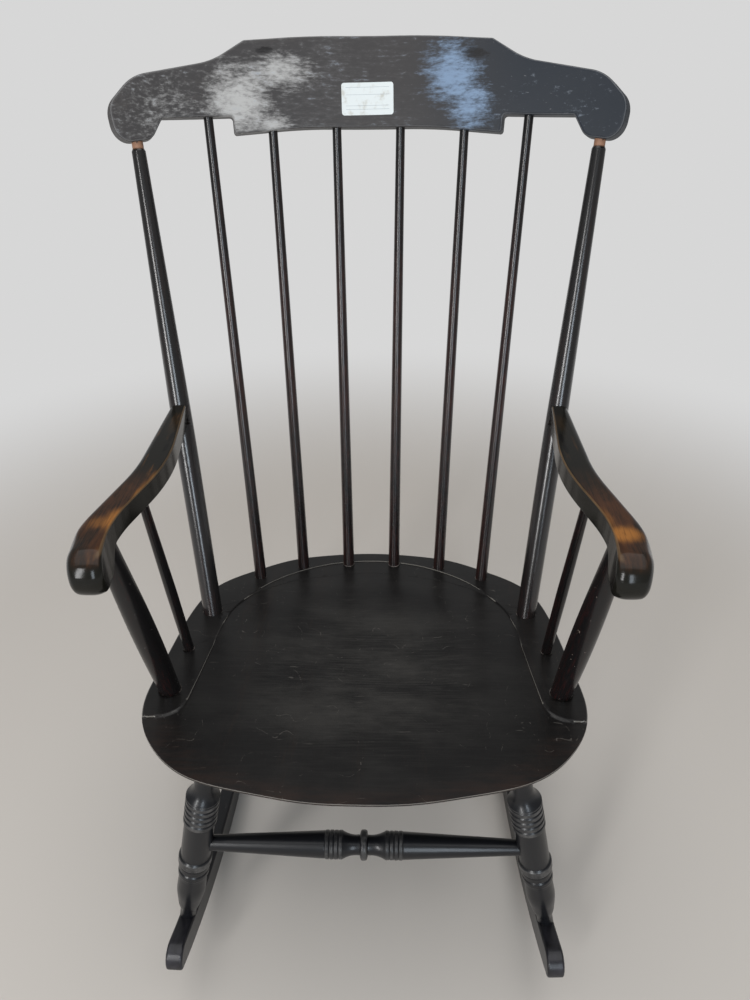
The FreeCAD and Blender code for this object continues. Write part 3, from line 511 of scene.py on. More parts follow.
def applied(holder: Object, modifier: Modifier) -> Mesh:
    """The mesh that a modifier makes of its object, which is then removed."""
    evaluated = holder.evaluated_get(bpy.context.evaluated_depsgraph_get())
    mesh = bpy.data.meshes.new_from_object(evaluated)
    holder.modifiers.remove(modifier)
    bpy.data.objects.remove(holder)
    return mesh


def add_piece(name: str, mesh: Mesh, material: Material | None) -> Object:
    """Put a finished mesh into the scene as a piece of the chair.

    Args:
        name: the piece's name.
        mesh: its mesh, in the chair's frame.
        material: its finish, or None where the mesh has it already.

    Returns:
        The new object.
    """
    obj = place_object(name, mesh)
    if material is not None:
        mesh.materials.clear()
        mesh.materials.append(material)
    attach(obj, BODY)
    log.info("%s made with %d faces", name, len(mesh.polygons))
    return obj


def merged_copy(name: str) -> BMesh:
    """A copy of a node's mesh in which the triangles share their corners."""
    build = bmesh.new()
    build.from_mesh(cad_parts[name].data)
    bmesh.ops.remove_doubles(build, verts=build.verts, dist=SAME_POINT)
    return build


def split_long_edges(build: BMesh, chosen: np.ndarray, longest: float) -> None:
    """Halve the long edges between chosen points.

    Args:
        build: the mesh.
        chosen: whether each point is chosen, in the mesh's order.
        longest: the length past which an edge is halved.
    """
    build.verts.index_update()
    edges = [edge for edge in build.edges if edge.calc_length() > longest
             and all(chosen[corner.index] for corner in edge.verts)]
    bmesh.ops.subdivide_edges(build, edges=edges, cuts=1)


def stand_in(mesh: Mesh, node: str, material: Material, crease: float = 28.0) -> None:
    """Shade a refined copy of a node smooth between its creases and put it in the node's place.

    Args:
        mesh: the refined copy.
        node: the node that it stands for.
        material: its finish.
        crease: the angle past which an edge stays sharp, in degrees.
    """
    mesh.shade_smooth()
    mesh.set_sharp_from_angle(angle=math.radians(crease))
    holder = place_object(f"{node}_shape", mesh)
    modifier = holder.modifiers.new("even_shading", "WEIGHTED_NORMAL")
    modifier.keep_sharp = True
    piece = add_piece(f"{node}_refined", applied(holder, modifier), material)
    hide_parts(node)


# Sub-assemblies

@dataclass
class Seat:
    """The shaped plank, with its saddled and dished middle."""

    tilt: float = 7.0
    oval_middle: float = -0.13
    oval_reach: Pair = (0.262, 0.196)
    worn_line: Colour = (0.20, 0.185, 0.165)
    wiped: Colour = (0.036, 0.034, 0.031)
    front_brown: Colour = (0.026, 0.013, 0.009)
    wipes: Noise = Noise(16.0, stretch=(0.5, 1.0, 1.0), detail=5.0, roughness=0.66, seed=8.0)
    specks: Noise = Noise(420.0, stretch=(1.0, 0.5, 1.0), detail=2.0, roughness=0.7, seed=2.0)
    hairs: Noise = Noise(170.0, stretch=(0.12, 1.0, 1.0), roughness=0.7, seed=12.0)
    lines: Noise = Noise(420.0, stretch=(0.05, 1.0, 1.0), roughness=0.6, seed=18.0)
    drift: Noise = Noise(11.0, detail=2.0, roughness=0.5, seed=15.0)
    lacquer: Lacquer = Lacquer(
        black=(0.0060, 0.0055, 0.0055), brown=(0.011, 0.0075, 0.0062), grain=Grain.DEEP, pores=700.0,
        show=0.50, roughness=0.33, spread=0.14, coat=0.10, relief=0.02)

    def deck(self) -> Axes:
        """The frame of the deck, with its origin midway between the feet of the back posts."""
        turn = Matrix.Rotation(-math.radians(self.tilt), 3, "X")
        square = turn @ UP
        height = float((node_points("seat") @ np.array(square)).max())
        post, _ = stick_axes("back_post_right")
        upward = post.upward()
        foot = post.origin + upward * ((height - post.origin.dot(square)) / upward.dot(square))
        return Axes(Vector((0.0, foot.y, foot.z)), turn)

    def finish(self, deck: Axes) -> Material:
        """The plank's lacquer: wiped and scratched on top, rubbed along its edges, with a painted highlight
        along the saddle's step.
        """
        recipe, layers, place = self.lacquer.start("seat_lacquer", deck)
        _, depth, height = recipe.parts(place)
        wipes = recipe.noise(place, self.wipes)
        specks = recipe.noise(place, self.specks)
        hairs = recipe.noise(place, self.hairs)
        lines = recipe.noise(place, self.lines)
        top = recipe.facing(deck.upward())
        middle = recipe.spot(place, (0.0, -0.12, 0.0), (0.19, 0.20, 0.2), 0.2)
        wide, deep = self.oval_reach
        shift = (0.0, -self.oval_middle / deep, 0.0)
        oval = recipe.vector("MULTIPLY_ADD", place, (1 / wide, 1 / deep, 0.0), shift)
        front = recipe.rise(recipe.length(oval), 0.86, 0.985) * recipe.rise(depth, -0.19, -0.25)
        drift = recipe.noise(place, self.drift)
        scratch = recipe.band(drift, 0.500, 0.5015, 0.0010) * recipe.rise(hairs, 0.52, 0.60)
        layers.roughness = layers.roughness + (wipes - 0.5) * 0.16
        layers.lay(recipe.rise(wipes, 0.36, 0.74) * (0.20 + middle * 0.80), self.wiped)
        layers.lay(recipe.rise(lines, 0.42, 0.72) * (0.10 + middle * 0.45), self.wiped)
        layers.lay(recipe.rise(hairs, 0.66, 0.76) * 0.22, self.worn_line)
        layers.lay(recipe.rise(specks, 0.72, 0.80) * 0.22, self.worn_line)
        layers.lay(front * recipe.rise(wipes + (hairs - 0.5) * 0.5, 0.35, 0.80) * 0.7, self.front_brown)
        layers.lay(scratch * 0.30, self.worn_line)
        # Painted highlight: a pale line along the step round the saddle.
        saddle_highlight = recipe.rise(top, 0.90, 0.60) * recipe.rise(height, -0.0032, -0.0024)
        layers.lay(saddle_highlight * (0.55 + wipes * 0.40), self.worn_line, 0.40)
        layers.carve(wipes, 0.04 * MILLIMETRE)
        return layers.material(0.2, 0.28)

    def make(self, deck: Axes) -> None:
        """Draw the plank with a flowing outline, and run a bead of old glue round each stick's foot."""
        names = [f"back_spindle_{number}" for number in range(1, 7)]
        for side in Side:
            names += [f"{kind}_{side.word}" for kind in ("back_post", "arm_spindle", "arm_support")]
        beads = GlueBeads()
        rings = [beads.ring_at(name, deck) for name in names]
        beads.make(rings)
        FlowingPlank().make(deck, rings, self.finish(deck))


@dataclass(frozen=True)
class Ring:
    """One level oval ring: its middle and its half widths along X and Y."""

    middle: Vector
    reach: Pair


@dataclass(frozen=True)
class FlowingPlank:
    """The seat's plank with the short straight runs of its outline drawn as one flowing curve."""

    spread: float = 6.5
    inner: float = 0.80
    outer: float = 0.965
    longest: float = 0.006
    rounds: int = 4
    clear: float = 0.003
    ramp: float = 0.010
    band_depth: float = 0.00375
    edge_share: float = 0.966
    widest_spread: int = 30
    near_angle: float = 4.0

    def angle(self, flat: np.ndarray) -> np.ndarray:
        """The direction of each point in degrees, from the front round by the right."""
        return np.degrees(np.arctan2(flat[:, 0], -flat[:, 1]))

    def radii(self, local: np.ndarray, centre: np.ndarray) -> np.ndarray:
        """The outline's distance from the middle at every whole degree.

        Args:
            local: the plank's points in the deck's axes, one row each.
            centre: the middle that the angles are taken about.

        Returns:
            360 distances, from the front round by the right.
        """
        flat = local[:, :2] - centre
        angle = self.angle(flat)
        away = np.hypot(*flat.T)
        upright = np.abs(local[:, 2] + self.band_depth) < self.band_depth / 4
        apart = [np.abs((angle - at + 180) % 360 - 180) for at in range(360)]
        far = np.array([away[turn < self.near_angle].max() for turn in apart])
        upright &= away > far[np.round(angle).astype(int) % 360] * self.edge_share
        order = np.argsort(angle[upright])
        return np.interp(np.arange(360), angle[upright][order], away[upright][order], period=360)

    def evened(self, radii: np.ndarray) -> np.ndarray:
        """The same distances, averaged over the angles on both sides."""
        reach = np.arange(-self.widest_spread, self.widest_spread + 1)
        share = np.exp(-0.5 * (reach / self.spread) ** 2)
        share /= share.sum()

        def average(values: np.ndarray) -> np.ndarray:
            """The weighted mean over the neighbouring angles."""
            return np.array([(values[(at + reach) % 360] * share).sum() for at in range(360)])

        once = average(radii)
        return once + average(radii - once)

    def at(self, flat: np.ndarray, radii: np.ndarray) -> np.ndarray:
        """The outline's distance in the direction of each point."""
        return np.interp(self.angle(flat), np.arange(360), radii, period=360)

    def share(self, flat: np.ndarray, radii: np.ndarray) -> np.ndarray:
        """How far out each point lies: 1 at the outline."""
        return np.hypot(*flat.T) / self.at(flat, radii)

    def placed(self, build: BMesh, deck: Axes) -> np.ndarray:
        """The points of a mesh in the deck's axes, one row each."""
        points = np.array([corner.co for corner in build.verts]) - np.array(deck.origin)
        return points @ np.array(deck.turn)

    def make(self, deck: Axes, rings: list[Ring], material: Material) -> None:
        """Make the plank as a piece that stands for the model's seat.

        Args:
            deck: the frame of the deck.
            rings: where the sticks meet the deck; their bores stay where they are.
            material: the plank's finish.
        """
        build = merged_copy("seat")
        local = self.placed(build, deck)
        centre = np.array([0.0, (local[:, 1].min() + local[:, 1].max()) / 2])
        for _ in range(self.rounds):
            local = self.placed(build, deck)
            rim = self.share(local[:, :2] - centre, self.radii(local, centre)) > self.inner
            split_long_edges(build, rim, self.longest)
        bmesh.ops.triangulate(build, faces=build.faces)
        local = self.placed(build, deck)
        flat = local[:, :2] - centre
        radii = self.radii(local, centre)
        share = self.share(flat, radii)
        weight = np.clip((share - self.inner) / (self.outer - self.inner), 0.0, 1.0)
        for ring in rings:
            foot = deck.turn.transposed() @ (ring.middle - deck.origin)
            away = np.hypot(local[:, 0] - foot.x, local[:, 1] - foot.y) - max(ring.reach)
            weight *= np.clip((away - self.clear) / self.ramp, 0.0, 1.0)
        gain = self.at(flat, self.evened(radii)) / self.at(flat, radii) - 1.0
        flat = flat * (1.0 + gain * weight)[:, None]
        local[:, :2] = flat + centre
        moved = local @ np.array(deck.turn).T + np.array(deck.origin)
        for corner, place in zip(build.verts, moved):
            corner.co = place
        stand_in(as_mesh(build, "seat_plank"), "seat", material)


@dataclass(frozen=True)
class GlueBeads:
    """The beads round the feet of the sticks, one ring for each."""

    thickness: float = 0.0006
    steps: int = 40
    facets: int = 8
    near_deck: float = 0.012
    glue: Glue = Glue()

    def ring_at(self, name: str, deck: Axes) -> Ring:
        """The ring round the place where a stick meets the deck.

        Args:
            name: the stick's node.
            deck: the frame of the deck.

        Returns:
            A level ring as wide as the stick, with its middle on the deck.
        """
        stick, _ = stick_axes(name)
        upward = stick.upward()
        square = deck.upward()
        rise = (deck.origin - stick.origin).dot(square) / upward.dot(square)
        middle = stick.origin + upward * rise
        points = node_points(name) - np.array(stick.origin)
        height = points @ np.array(upward)
        near = points[np.abs(height - rise) < self.near_deck]
        away = near - np.outer(near @ np.array(upward), np.array(upward))
        width = float(np.linalg.norm(away, axis=1).max())
        return Ring(middle, (width / upward.dot(square), width))

    def tree(self) -> NodeTree:
        """The geometry nodes that turn one point for each ring into closed beads."""
        tree = bpy.data.node_groups.new("glue_beads", "GeometryNodeTree")
        for name, kind in (("Geometry", "Geometry"), ("Bead thickness", "Float"), ("Steps round", "Int"),
                           ("Finish", "Material")):
            tree.interface.new_socket(name, in_out="INPUT", socket_type=f"NodeSocket{kind}")
        tree.interface.new_socket("Geometry", in_out="OUTPUT", socket_type="NodeSocketGeometry")

        def node(kind: str, inputs: dict[str, Any] | None = None, **settings: Any) -> Node:
            """Add a node with its settings. An input is a value, or a node and its output's name."""
            made = tree.nodes.new(kind)
            for name, value in settings.items():
                setattr(made, name, value)
            for name, value in (inputs or {}).items():
                if isinstance(value, tuple):
                    tree.links.new(value[0].outputs[value[1]], made.inputs[name])
                else:
                    made.inputs[name].default_value = value
            return made

        start = node("NodeGroupInput")
        points = node("GeometryNodeMeshToPoints", {"Mesh": (start, "Geometry")})
        oval = node("GeometryNodeCurvePrimitiveCircle", {"Radius": 1.0, "Resolution": (start, "Steps round")})
        reach = node("GeometryNodeInputNamedAttribute", {"Name": "reach"}, data_type="FLOAT_VECTOR")
        copies = node("GeometryNodeInstanceOnPoints", {
            "Points": (points, "Points"), "Instance": (oval, "Curve"), "Scale": (reach, "Attribute")})
        loose = node("GeometryNodeRealizeInstances", {"Geometry": (copies, "Instances")})
        profile = node("GeometryNodeCurvePrimitiveCircle", {
            "Resolution": self.facets, "Radius": (start, "Bead thickness")})
        swept = node("GeometryNodeCurveToMesh", {
            "Curve": (loose, "Geometry"), "Profile Curve": (profile, "Curve")})
        smooth = node("GeometryNodeSetShadeSmooth", {"Geometry": (swept, "Mesh")})
        finish = node("GeometryNodeSetMaterial", {
            "Geometry": (smooth, "Geometry"), "Material": (start, "Finish")})
        node("NodeGroupOutput", {"Geometry": (finish, "Geometry")})
        return tree

    def make(self, rings: list[Ring]) -> None:
        """Make all beads as one piece.

        Args:
            rings: where each bead lies.
        """
        seedbed = bpy.data.meshes.new("glue_bead_points")
        seedbed.from_pydata([tuple(ring.middle) for ring in rings], [], [])
        reach = seedbed.attributes.new("reach", "FLOAT_VECTOR", "POINT")
        reach.data.foreach_set("vector", np.ravel([(*ring.reach, 1.0) for ring in rings]))
        holder = place_object("glue_bead_points", seedbed)
        modifier = holder.modifiers.new("beads", "NODES")
        modifier.node_group = self.tree()
        values = {"Bead thickness": self.thickness, "Steps round": self.steps, "Finish": self.glue.material()}
        for item in modifier.node_group.interface.items_tree:
            if item.in_out == "INPUT" and item.name in values:
                modifier[item.identifier] = values[item.name]
        add_piece("glue_beads", applied(holder, modifier), None)


@dataclass
class CrestRail:
    """The bent and shaped rail at the top of the back, with painted reflections of the lamps in two places.
    """

    lean: float = 9.3
    bend: float = 0.597
    setback: float = 0.0684
    rise: float = 0.5905
    rim: Colour = (0.26, 0.26, 0.265)
    warm_haze: Colour = (0.42, 0.415, 0.405)
    cool_haze: Colour = (0.19, 0.27, 0.39)
    dust: Colour = (0.115, 0.110, 0.108)
    slate: Colour = (0.011, 0.017, 0.026)
    smudge: Colour = (0.010, 0.009, 0.009)
    warm_spots: tuple[Spot, ...] = (
        ((-0.155, 0.210, 0.958), (0.066, 0.3, 0.070), 1.0),
        ((-0.103, 0.215, 0.988), (0.058, 0.3, 0.034), 0.85),
        ((-0.114, 0.215, 0.930), (0.040, 0.3, 0.024), 0.80),
        ((-0.235, 0.190, 0.950), (0.080, 0.3, 0.060), 0.40),
    )
    cool_spots: tuple[Spot, ...] = (
        ((0.100, 0.215, 0.984), (0.056, 0.3, 0.056), 1.0),
        ((0.122, 0.215, 0.950), (0.040, 0.3, 0.050), 0.8),
    )
    smudges: tuple[Spot, ...] = (
        ((-0.122, 0.228, 1.0085), (0.022, 0.1, 0.0085), 0.85),
        ((0.127, 0.226, 1.004), (0.028, 0.1, 0.011), 0.85),
    )
    fine: Noise = Noise(300.0, stretch=(0.35, 1, 1), detail=4.0, roughness=0.72, seed=4.0)
    broad: Noise = Noise(30.0, stretch=(0.8, 1, 1), detail=5.0, roughness=0.70, seed=9.0)
    scratch: Noise = Noise(190.0, stretch=(0.07, 1, 1), roughness=0.7, seed=6.0)
    lacquer: Lacquer = Lacquer(
        black=(0.048, 0.045, 0.045), brown=(0.064, 0.058, 0.055), grain=Grain.ACROSS, pores=800.0,
        show=0.7, roughness=0.46, spread=0.14, coat=0.05, relief=0.04)

    def axes(self, deck: Axes) -> Axes:
        """The frame of the bend: Z runs up its axis, which lies in front of the chair."""
        return deck.tilted(-self.lean).shifted(0.0, self.setback - self.bend, self.rise)

    def dress(self, deck: Axes) -> None:
        """Lacquer the rail: dull in front, with painted reflections of the lamps, a painted bluish cast to
        the right, and a line round its faces that is partly rubbed and partly painted highlight.
        """
        axes = self.axes(deck)
        recipe, layers, place = self.lacquer.start("crest_lacquer", axes)
        chair = recipe.place()
        outward = recipe.vector("NORMALIZE", recipe.vector("MULTIPLY", place, (1, 1, 0)))
        turned = {"Vector": recipe.normal(), "Rotation": tuple(axes.turn.transposed().to_euler())}
        own_normal = recipe.add("ShaderNodeMapping", {"vector_type": "VECTOR"}, turned)
        flatness = abs(recipe.dot(own_normal, outward))
        front = recipe.rise(recipe.radius(place), self.bend + 0.012, self.bend + 0.006)
        fine = recipe.noise(place, self.fine)
        broad = recipe.noise(place, self.broad)
        scratch = recipe.noise(place, self.scratch)
        mottle = (broad - 0.5) * 1.3 + (fine - 0.5) * 2.0 + (scratch - 0.5) * 1.6
        across = recipe.parts(chair)[0]
        # Painted bluish cast of reflected light, darker towards the right.
        layers.lay(recipe.rise(across, 0.02, 0.20) * 0.85, self.slate)
        # Painted sheen: a lighter mottled grey over the left of the front, where the left lamp reflects.
        left = recipe.rise(across, 0.14, -0.12)
        layers.lay(recipe.rise(mottle, -0.25, 0.9) * left * front * 0.8, self.dust)
        # Painted reflections of the two lamps: a pale patch on the left of the front and a bluish one on the
        # right.
        for spots, full, colour in ((self.warm_spots, 1.15, self.warm_haze),
                                    (self.cool_spots, 1.10, self.cool_haze)):
            painted_reflection_mask = recipe.spots(chair, spots) + mottle * 0.66
            layers.lay(recipe.rise(painted_reflection_mask, 0.14, full) * front, colour, 0.55)
        for centre, reach, strength in self.smudges:
            dark = recipe.rise(recipe.spot(chair, centre, reach) + (fine - 0.5) * 2.2, 0.35, 0.80)
            layers.lay(dark * front * strength, self.smudge)
        # A pale line round the faces' edges: partly rubbed lacquer, partly painted highlight.
        line = recipe.band(flatness, 0.55, 0.82, 0.08)
        layers.lay(line * (0.05 + broad * 0.5), self.rim, 0.34)
        layers.lay(recipe.rise(fine, 0.66, 0.74) * 0.4 * front, self.rim)
        layers.carve(scratch, 0.04 * MILLIMETRE)
        dress("crest_rail", layers.material(0.3, 0.2))


@dataclass
class BlankLabel:
    """The small blank paper label stuck on the front of the crest rail."""

    width: float = 0.0625
    height: float = 0.0355
    middle: Triple = (-0.0009, 0.2256, 0.9572)
    turn: float = -0.9
    corner: float = 0.003
    thickness: float = 0.00025
    lift: float = 0.3
    ahead: float = 0.1
    reach: float = 0.3
    columns: int = 24
    rows: int = 14
    paper: Paper = Paper()

    def rounded(self, across: float, up: float) -> Pair:
        """Pull a point that lies past a rounded corner back onto its arc."""
        wide = self.width / 2 - self.corner
        tall = self.height / 2 - self.corner
        over_x = abs(across) - wide
        over_z = abs(up) - tall
        away = math.hypot(over_x, over_z)
        if min(over_x, over_z) <= 0 or away <= self.corner:
            return across, up
        share = self.corner / away
        return math.copysign(wide + over_x * share, across), math.copysign(tall + over_z * share, up)

    def make(self, crest: Axes) -> None:
        """Lay the label on the rail's bent front face.

        Args:
            crest: the frame of the rail's bend.
        """
        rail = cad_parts["crest_rail"]
        middle = Vector(self.middle)
        lean = crest.turn @ Matrix.Rotation(math.radians(self.turn), 3, "Y")
        back = lean @ Vector((0, 1, 0))
        build = bmesh.new()
        bmesh.ops.create_grid(build, x_segments=self.columns, y_segments=self.rows, size=0.5)
        for corner in build.verts:
            x, z = self.rounded(corner.co.x * self.width, corner.co.y * self.height)
            start = middle + lean @ Vector((x, 0, z)) - back * self.ahead
            found, hit, normal, _ = rail.ray_cast(start, back, distance=self.reach)
            if not found:
                raise RuntimeError("the label lies off the crest rail")
            corner.co = hit + normal * (self.thickness * self.lift)
        bmesh.ops.recalc_face_normals(build, faces=build.faces)
        if build.faces[0].normal.dot(back) > 0:
            bmesh.ops.reverse_faces(build, faces=build.faces)
        shell = bmesh.ops.extrude_face_region(build, geom=list(build.faces))
        for item in shell["geom"]:
            if isinstance(item, BMVert):
                item.co -= back * self.thickness
        bmesh.ops.recalc_face_normals(build, faces=build.faces)
        paper = self.paper.material(Axes(middle, lean))
        add_piece("blank_label", as_mesh(build, "blank_label"), paper)


@dataclass
class BackSticks:
    """The posts and spindles of the back and the sticks under the arms."""

    crest_socket: float = 0.020
    neck: float = 0.004
    chip: Colour = (0.24, 0.19, 0.15)
    chips: tuple[tuple[Triple, Triple], ...] = (
        ((0.2253, -0.205, 0.4602), (0.003, 0.012, 0.005)),
        ((0.2284, -0.207, 0.4953), (0.0048, 0.012, 0.008)),
    )
    stick_flakes: Noise = Noise(320.0, stretch=(1, 1, 0.35), roughness=0.7, seed=7.0)
    support_flakes: Noise = Noise(260.0, stretch=(1, 1, 0.5), roughness=0.7, seed=7.0)
    spindle: Lacquer = Lacquer(brown=(0.036, 0.012, 0.009), show=0.80, roughness=0.28, coat=0.45)
    post: Lacquer = Lacquer(brown=(0.026, 0.011, 0.009), show=0.65, roughness=0.25, coat=0.75)
    support: Lacquer = Lacquer(brown=(0.030, 0.007, 0.006), show=0.60, roughness=0.26, coat=0.15)

    def dress_stick(self, name: str, lacquer: Lacquer, neck: bool = False) -> None:
        """Lacquer one stick along its own length.

        Args:
            name: the stick's node.
            lacquer: the finish that it starts from.
            neck: whether bare wood shows just under its head.
        """
        axes, length = stick_axes(name)
        recipe, layers, place = lacquer.start(f"{name}_lacquer", axes)
        height = recipe.parts(place)[2]
        flakes = recipe.noise(place, self.stick_flakes)
        layers.lay(recipe.rise(flakes, 0.72, 0.80) * 0.3, lacquer.rubbed)
        if neck:
            worn = recipe.band(height, length - self.crest_socket - self.neck, length, 0.003)
            layers.lay(worn * recipe.rise(flakes, 0.30, 0.45), lacquer.bare, 0.5, 0.0)
        dress(name, layers.material(0.22))

    def dress_support(self, side: Side) -> None:
        """Lacquer the stout stick under the front of an arm, with its chips."""
        name = f"arm_support_{side.word}"
        axes, _ = stick_axes(name)
        recipe, layers, place = self.support.start(f"{name}_lacquer", axes)
        flakes = recipe.noise(place, self.support_flakes)
        layers.lay(recipe.rise(flakes, 0.68, 0.74) * 0.6, self.support.rubbed)
        if side is Side.RIGHT:
            chair = recipe.place()
            for centre, reach in self.chips:
                chip = recipe.spot(chair, centre, reach) + (flakes - 0.5) * 4.0
                layers.lay(recipe.rise(chip, 0.80, 1.00), self.chip, 0.6, 0.0)
        dress(name, layers.material(0.15))

    def make(self) -> None:
        """Lacquer every stick above the seat."""
        for number in range(1, 7):
            self.dress_stick(f"back_spindle_{number}", self.spindle)
        for side in Side:
            self.dress_stick(f"back_post_{side.word}", self.post, True)
            self.dress_stick(f"arm_spindle_{side.word}", self.support)
            self.dress_support(side)


@dataclass
class Arms:
    """The two scrolled arms, polished by hands and worn to brown."""

    amber: Colour = (0.30, 0.120, 0.026)
    umber: Colour = (0.062, 0.026, 0.013)
    oval: Colour = (0.022, 0.014, 0.007)
    streak: Colour = (0.004, 0.0035, 0.003)
    arris: Colour = (0.16, 0.10, 0.05)
    top: float = 0.632
    nose_middle: float = 0.2520
    nose_forward: float = -0.2466
    nose_height: float = 0.608
    nose_radius: float = 0.024
    nose_reach: float = 0.0185
    nose_crown: float = 0.0060
    crown_from: float = -0.205
    crown_full: float = -0.248
    bore_reach: float = 0.014
    bore_clear: float = 0.022
    longest: float = 0.004
    rounds: int = 4
    margin: float = 0.01
    grain: Noise = Noise(330.0, stretch=(1.0, 0.06, 0.4), detail=4.0, roughness=0.65, seed=2.5)
    broad: Noise = Noise(55.0, stretch=(1.0, 0.5, 1.0), detail=4.0, roughness=0.6, seed=6.5)
    fibre: Noise = Noise(900.0, stretch=(1.0, 0.05, 0.4), detail=2.0, roughness=0.6, seed=9.5)
    lacquer: Lacquer = Lacquer(
        black=(0.0085, 0.0080, 0.0062), brown=(0.014, 0.010, 0.007), grain=Grain.DEEP, pores=600.0,
        show=0.30, roughness=0.155, spread=0.04, coat=0.0, relief=0.01)

    def worn_patches(self, side: Side) -> tuple[Spot, ...]:
        """Where an arm is worn to amber: middle, reach and strength of each patch."""
        if side is Side.LEFT:
            return (
                ((-0.222, -0.130, self.top), (0.008, 0.034, 0.02), 0.8),
                ((-0.227, -0.160, self.top), (0.011, 0.040, 0.02), 1.0),
                ((-0.238, -0.200, self.top), (0.018, 0.034, 0.02), 1.0),
                ((-0.252, -0.205, self.top), (0.020, 0.018, 0.02), 0.4),
            )
        return (
            ((0.250, -0.219, self.top), (0.032, 0.021, 0.02), 1.0),
            ((0.238, -0.195, self.top), (0.013, 0.030, 0.02), 0.4),
        )

    def finish(self, side: Side) -> Material:
        """The lacquer of one arm, polished and worn through where hands have held it."""
        recipe, layers, chair = self.lacquer.start(f"arm_{side.word}_lacquer", CHAIR)
        up = recipe.facing(UP)
        top = recipe.rise(up, 0.45, 0.85)
        grain = recipe.noise(chair, self.grain)
        broad = recipe.noise(chair, self.broad)
        fibre = recipe.noise(chair, self.fibre)
        hand = recipe.spot(chair, (side.value * 0.242, -0.195, self.top), (0.060, 0.110, 0.05), 0.2)
        layers.lay(hand * top * recipe.rise(grain + broad, 0.65, 1.25), self.umber)
        rear = recipe.spot(chair, (side.value * 0.229, 0.005, self.top), (0.012, 0.045, 0.02), 0.2)
        layers.lay(rear * recipe.rise(grain + broad, 0.75, 1.1) * 0.8, self.oval)
        for middle, reach, strength in self.worn_patches(side):
            patch = recipe.spot(chair, middle, reach) + (broad - 0.5) * 0.45 + (grain - 0.5) * 0.7
            layers.lay(recipe.rise(patch, 0.05, 0.95) * top * strength, self.amber, 0.25)
        layers.lay(recipe.rise(fibre, 0.50, 0.72) * hand * top * 0.55, self.umber)
        layers.lay(recipe.rise(grain, 0.60, 0.70) * hand * top * 0.5, self.streak)
        for shift, reach in ((-0.030, 0.020), (-0.055, 0.018)):
            dark = recipe.spot(chair, (side.value * 0.226, shift, self.top), (0.004, reach, 0.02))
            layers.lay(recipe.rise(dark + (grain - 0.5) * 0.8, 0.2, 0.5), self.streak, 0.15)
        upper = recipe.rise(recipe.parts(chair)[2], self.top - 0.006, self.top - 0.003)
        arris = recipe.band(up, 0.30, 0.90, 0.06) * upper
        inward = recipe.rise(recipe.facing(Vector((-side.value, 0, 0))), 0.25, 0.45)
        layers.lay(arris * inward * (0.15 + broad * 0.7), self.arris)
        return layers.material(0.08, 0.22)

    def domed(self, side: Side) -> Mesh:
        """A copy of an arm whose knuckle is crowned across its width.

        Args:
            side: which arm.

        Returns:
            The mesh, in the chair's frame.
        """
        build = merged_copy(f"arm_{side.word}")
        for _ in range(self.rounds):
            near = np.array([corner.co.y < self.crown_from + self.margin for corner in build.verts])
            split_long_edges(build, near, self.longest)
        bmesh.ops.triangulate(build, faces=build.faces)
        support, _ = stick_axes(f"arm_support_{side.word}")
        upward = support.upward()
        for corner in build.verts:
            ahead = smooth_share(corner.co.y, self.crown_from, self.crown_full)
            from_axis = (corner.co - support.origin).cross(upward).length
            clear = smooth_share(from_axis, self.bore_reach, self.bore_clear)
            off = (corner.co.x - side.value * self.nose_middle) / self.nose_reach
            spoke = Vector((0.0, min(corner.co.y - self.nose_forward, 0.0), corner.co.z - self.nose_height))
            depth = self.nose_crown * min(abs(off) ** 3, 1.2) * min(spoke.length / self.nose_radius, 1.0)
            corner.co -= spoke.normalized() * (depth * ahead * clear)
        return as_mesh(build, f"arm_{side.word}_domed")

    def make(self) -> None:
        """Shape and dress both arms."""
        for side in Side:
            stand_in(self.domed(side), f"arm_{side.word}", self.finish(side))


@dataclass
class Undercarriage:
    """The turned legs and stretchers, with worn crests on their rings and reeds that also carry painted
    highlight lines.
    """

    reed_crest: float = 0.0193
    ring_crest: float = 0.0198
    stretcher_crest: float = 0.0161
    wear: Noise = Noise(90.0, detail=4.0, roughness=0.65, seed=3.0)
    flakes: Noise = Noise(380.0, stretch=(1, 1, 0.5), roughness=0.7, seed=11.0)
    lacquer: Lacquer = Lacquer(
        black=(0.0060, 0.0064, 0.0080), brown=(0.012, 0.009, 0.009), show=0.4, roughness=0.32, coat=0.12,
        rubbed=(0.13, 0.125, 0.12))

    def dress_turning(self, name: str, crest: float) -> None:
        """Lacquer a turned piece and rub its thickest rings, the pale lines there also standing in for
        highlights.

        Args:
            name: the piece's node.
            crest: the distance from the piece's axis past which the lacquer is rubbed and the painted
                highlight laid.
        """
        axes, _ = stick_axes(name)
        recipe, layers, place = self.lacquer.start(f"{name}_lacquer", axes)
        wear = recipe.noise(place, self.wear)
        flakes = recipe.noise(place, self.flakes)
        # Pale lines on the ring crests: partly rubbed lacquer, partly painted highlight.
        crest_wear_and_highlight = recipe.rise(recipe.radius(place), crest - 0.0002, crest + 0.0002)
        layers.lay(crest_wear_and_highlight * (0.10 + recipe.rise(wear, 0.40, 0.75) * 0.45), self.lacquer.rubbed, 0.40)
        layers.lay(recipe.rise(flakes + (wear - 0.5) * 0.4, 0.76, 0.82) * 0.5, self.lacquer.rubbed)
        dress(name, layers.material(0.15))

    def make(self) -> None:
        """Dress every leg and stretcher."""
        for side in Side:
            self.dress_turning(f"front_leg_{side.word}", self.reed_crest)
            self.dress_turning(f"rear_leg_{side.word}", self.ring_crest)
            self.dress_turning(f"side_stretcher_{side.word}", self.ring_crest)
        self.dress_turning("rear_stretcher", self.ring_crest)
        self.dress_turning("front_stretcher", self.stretcher_crest)


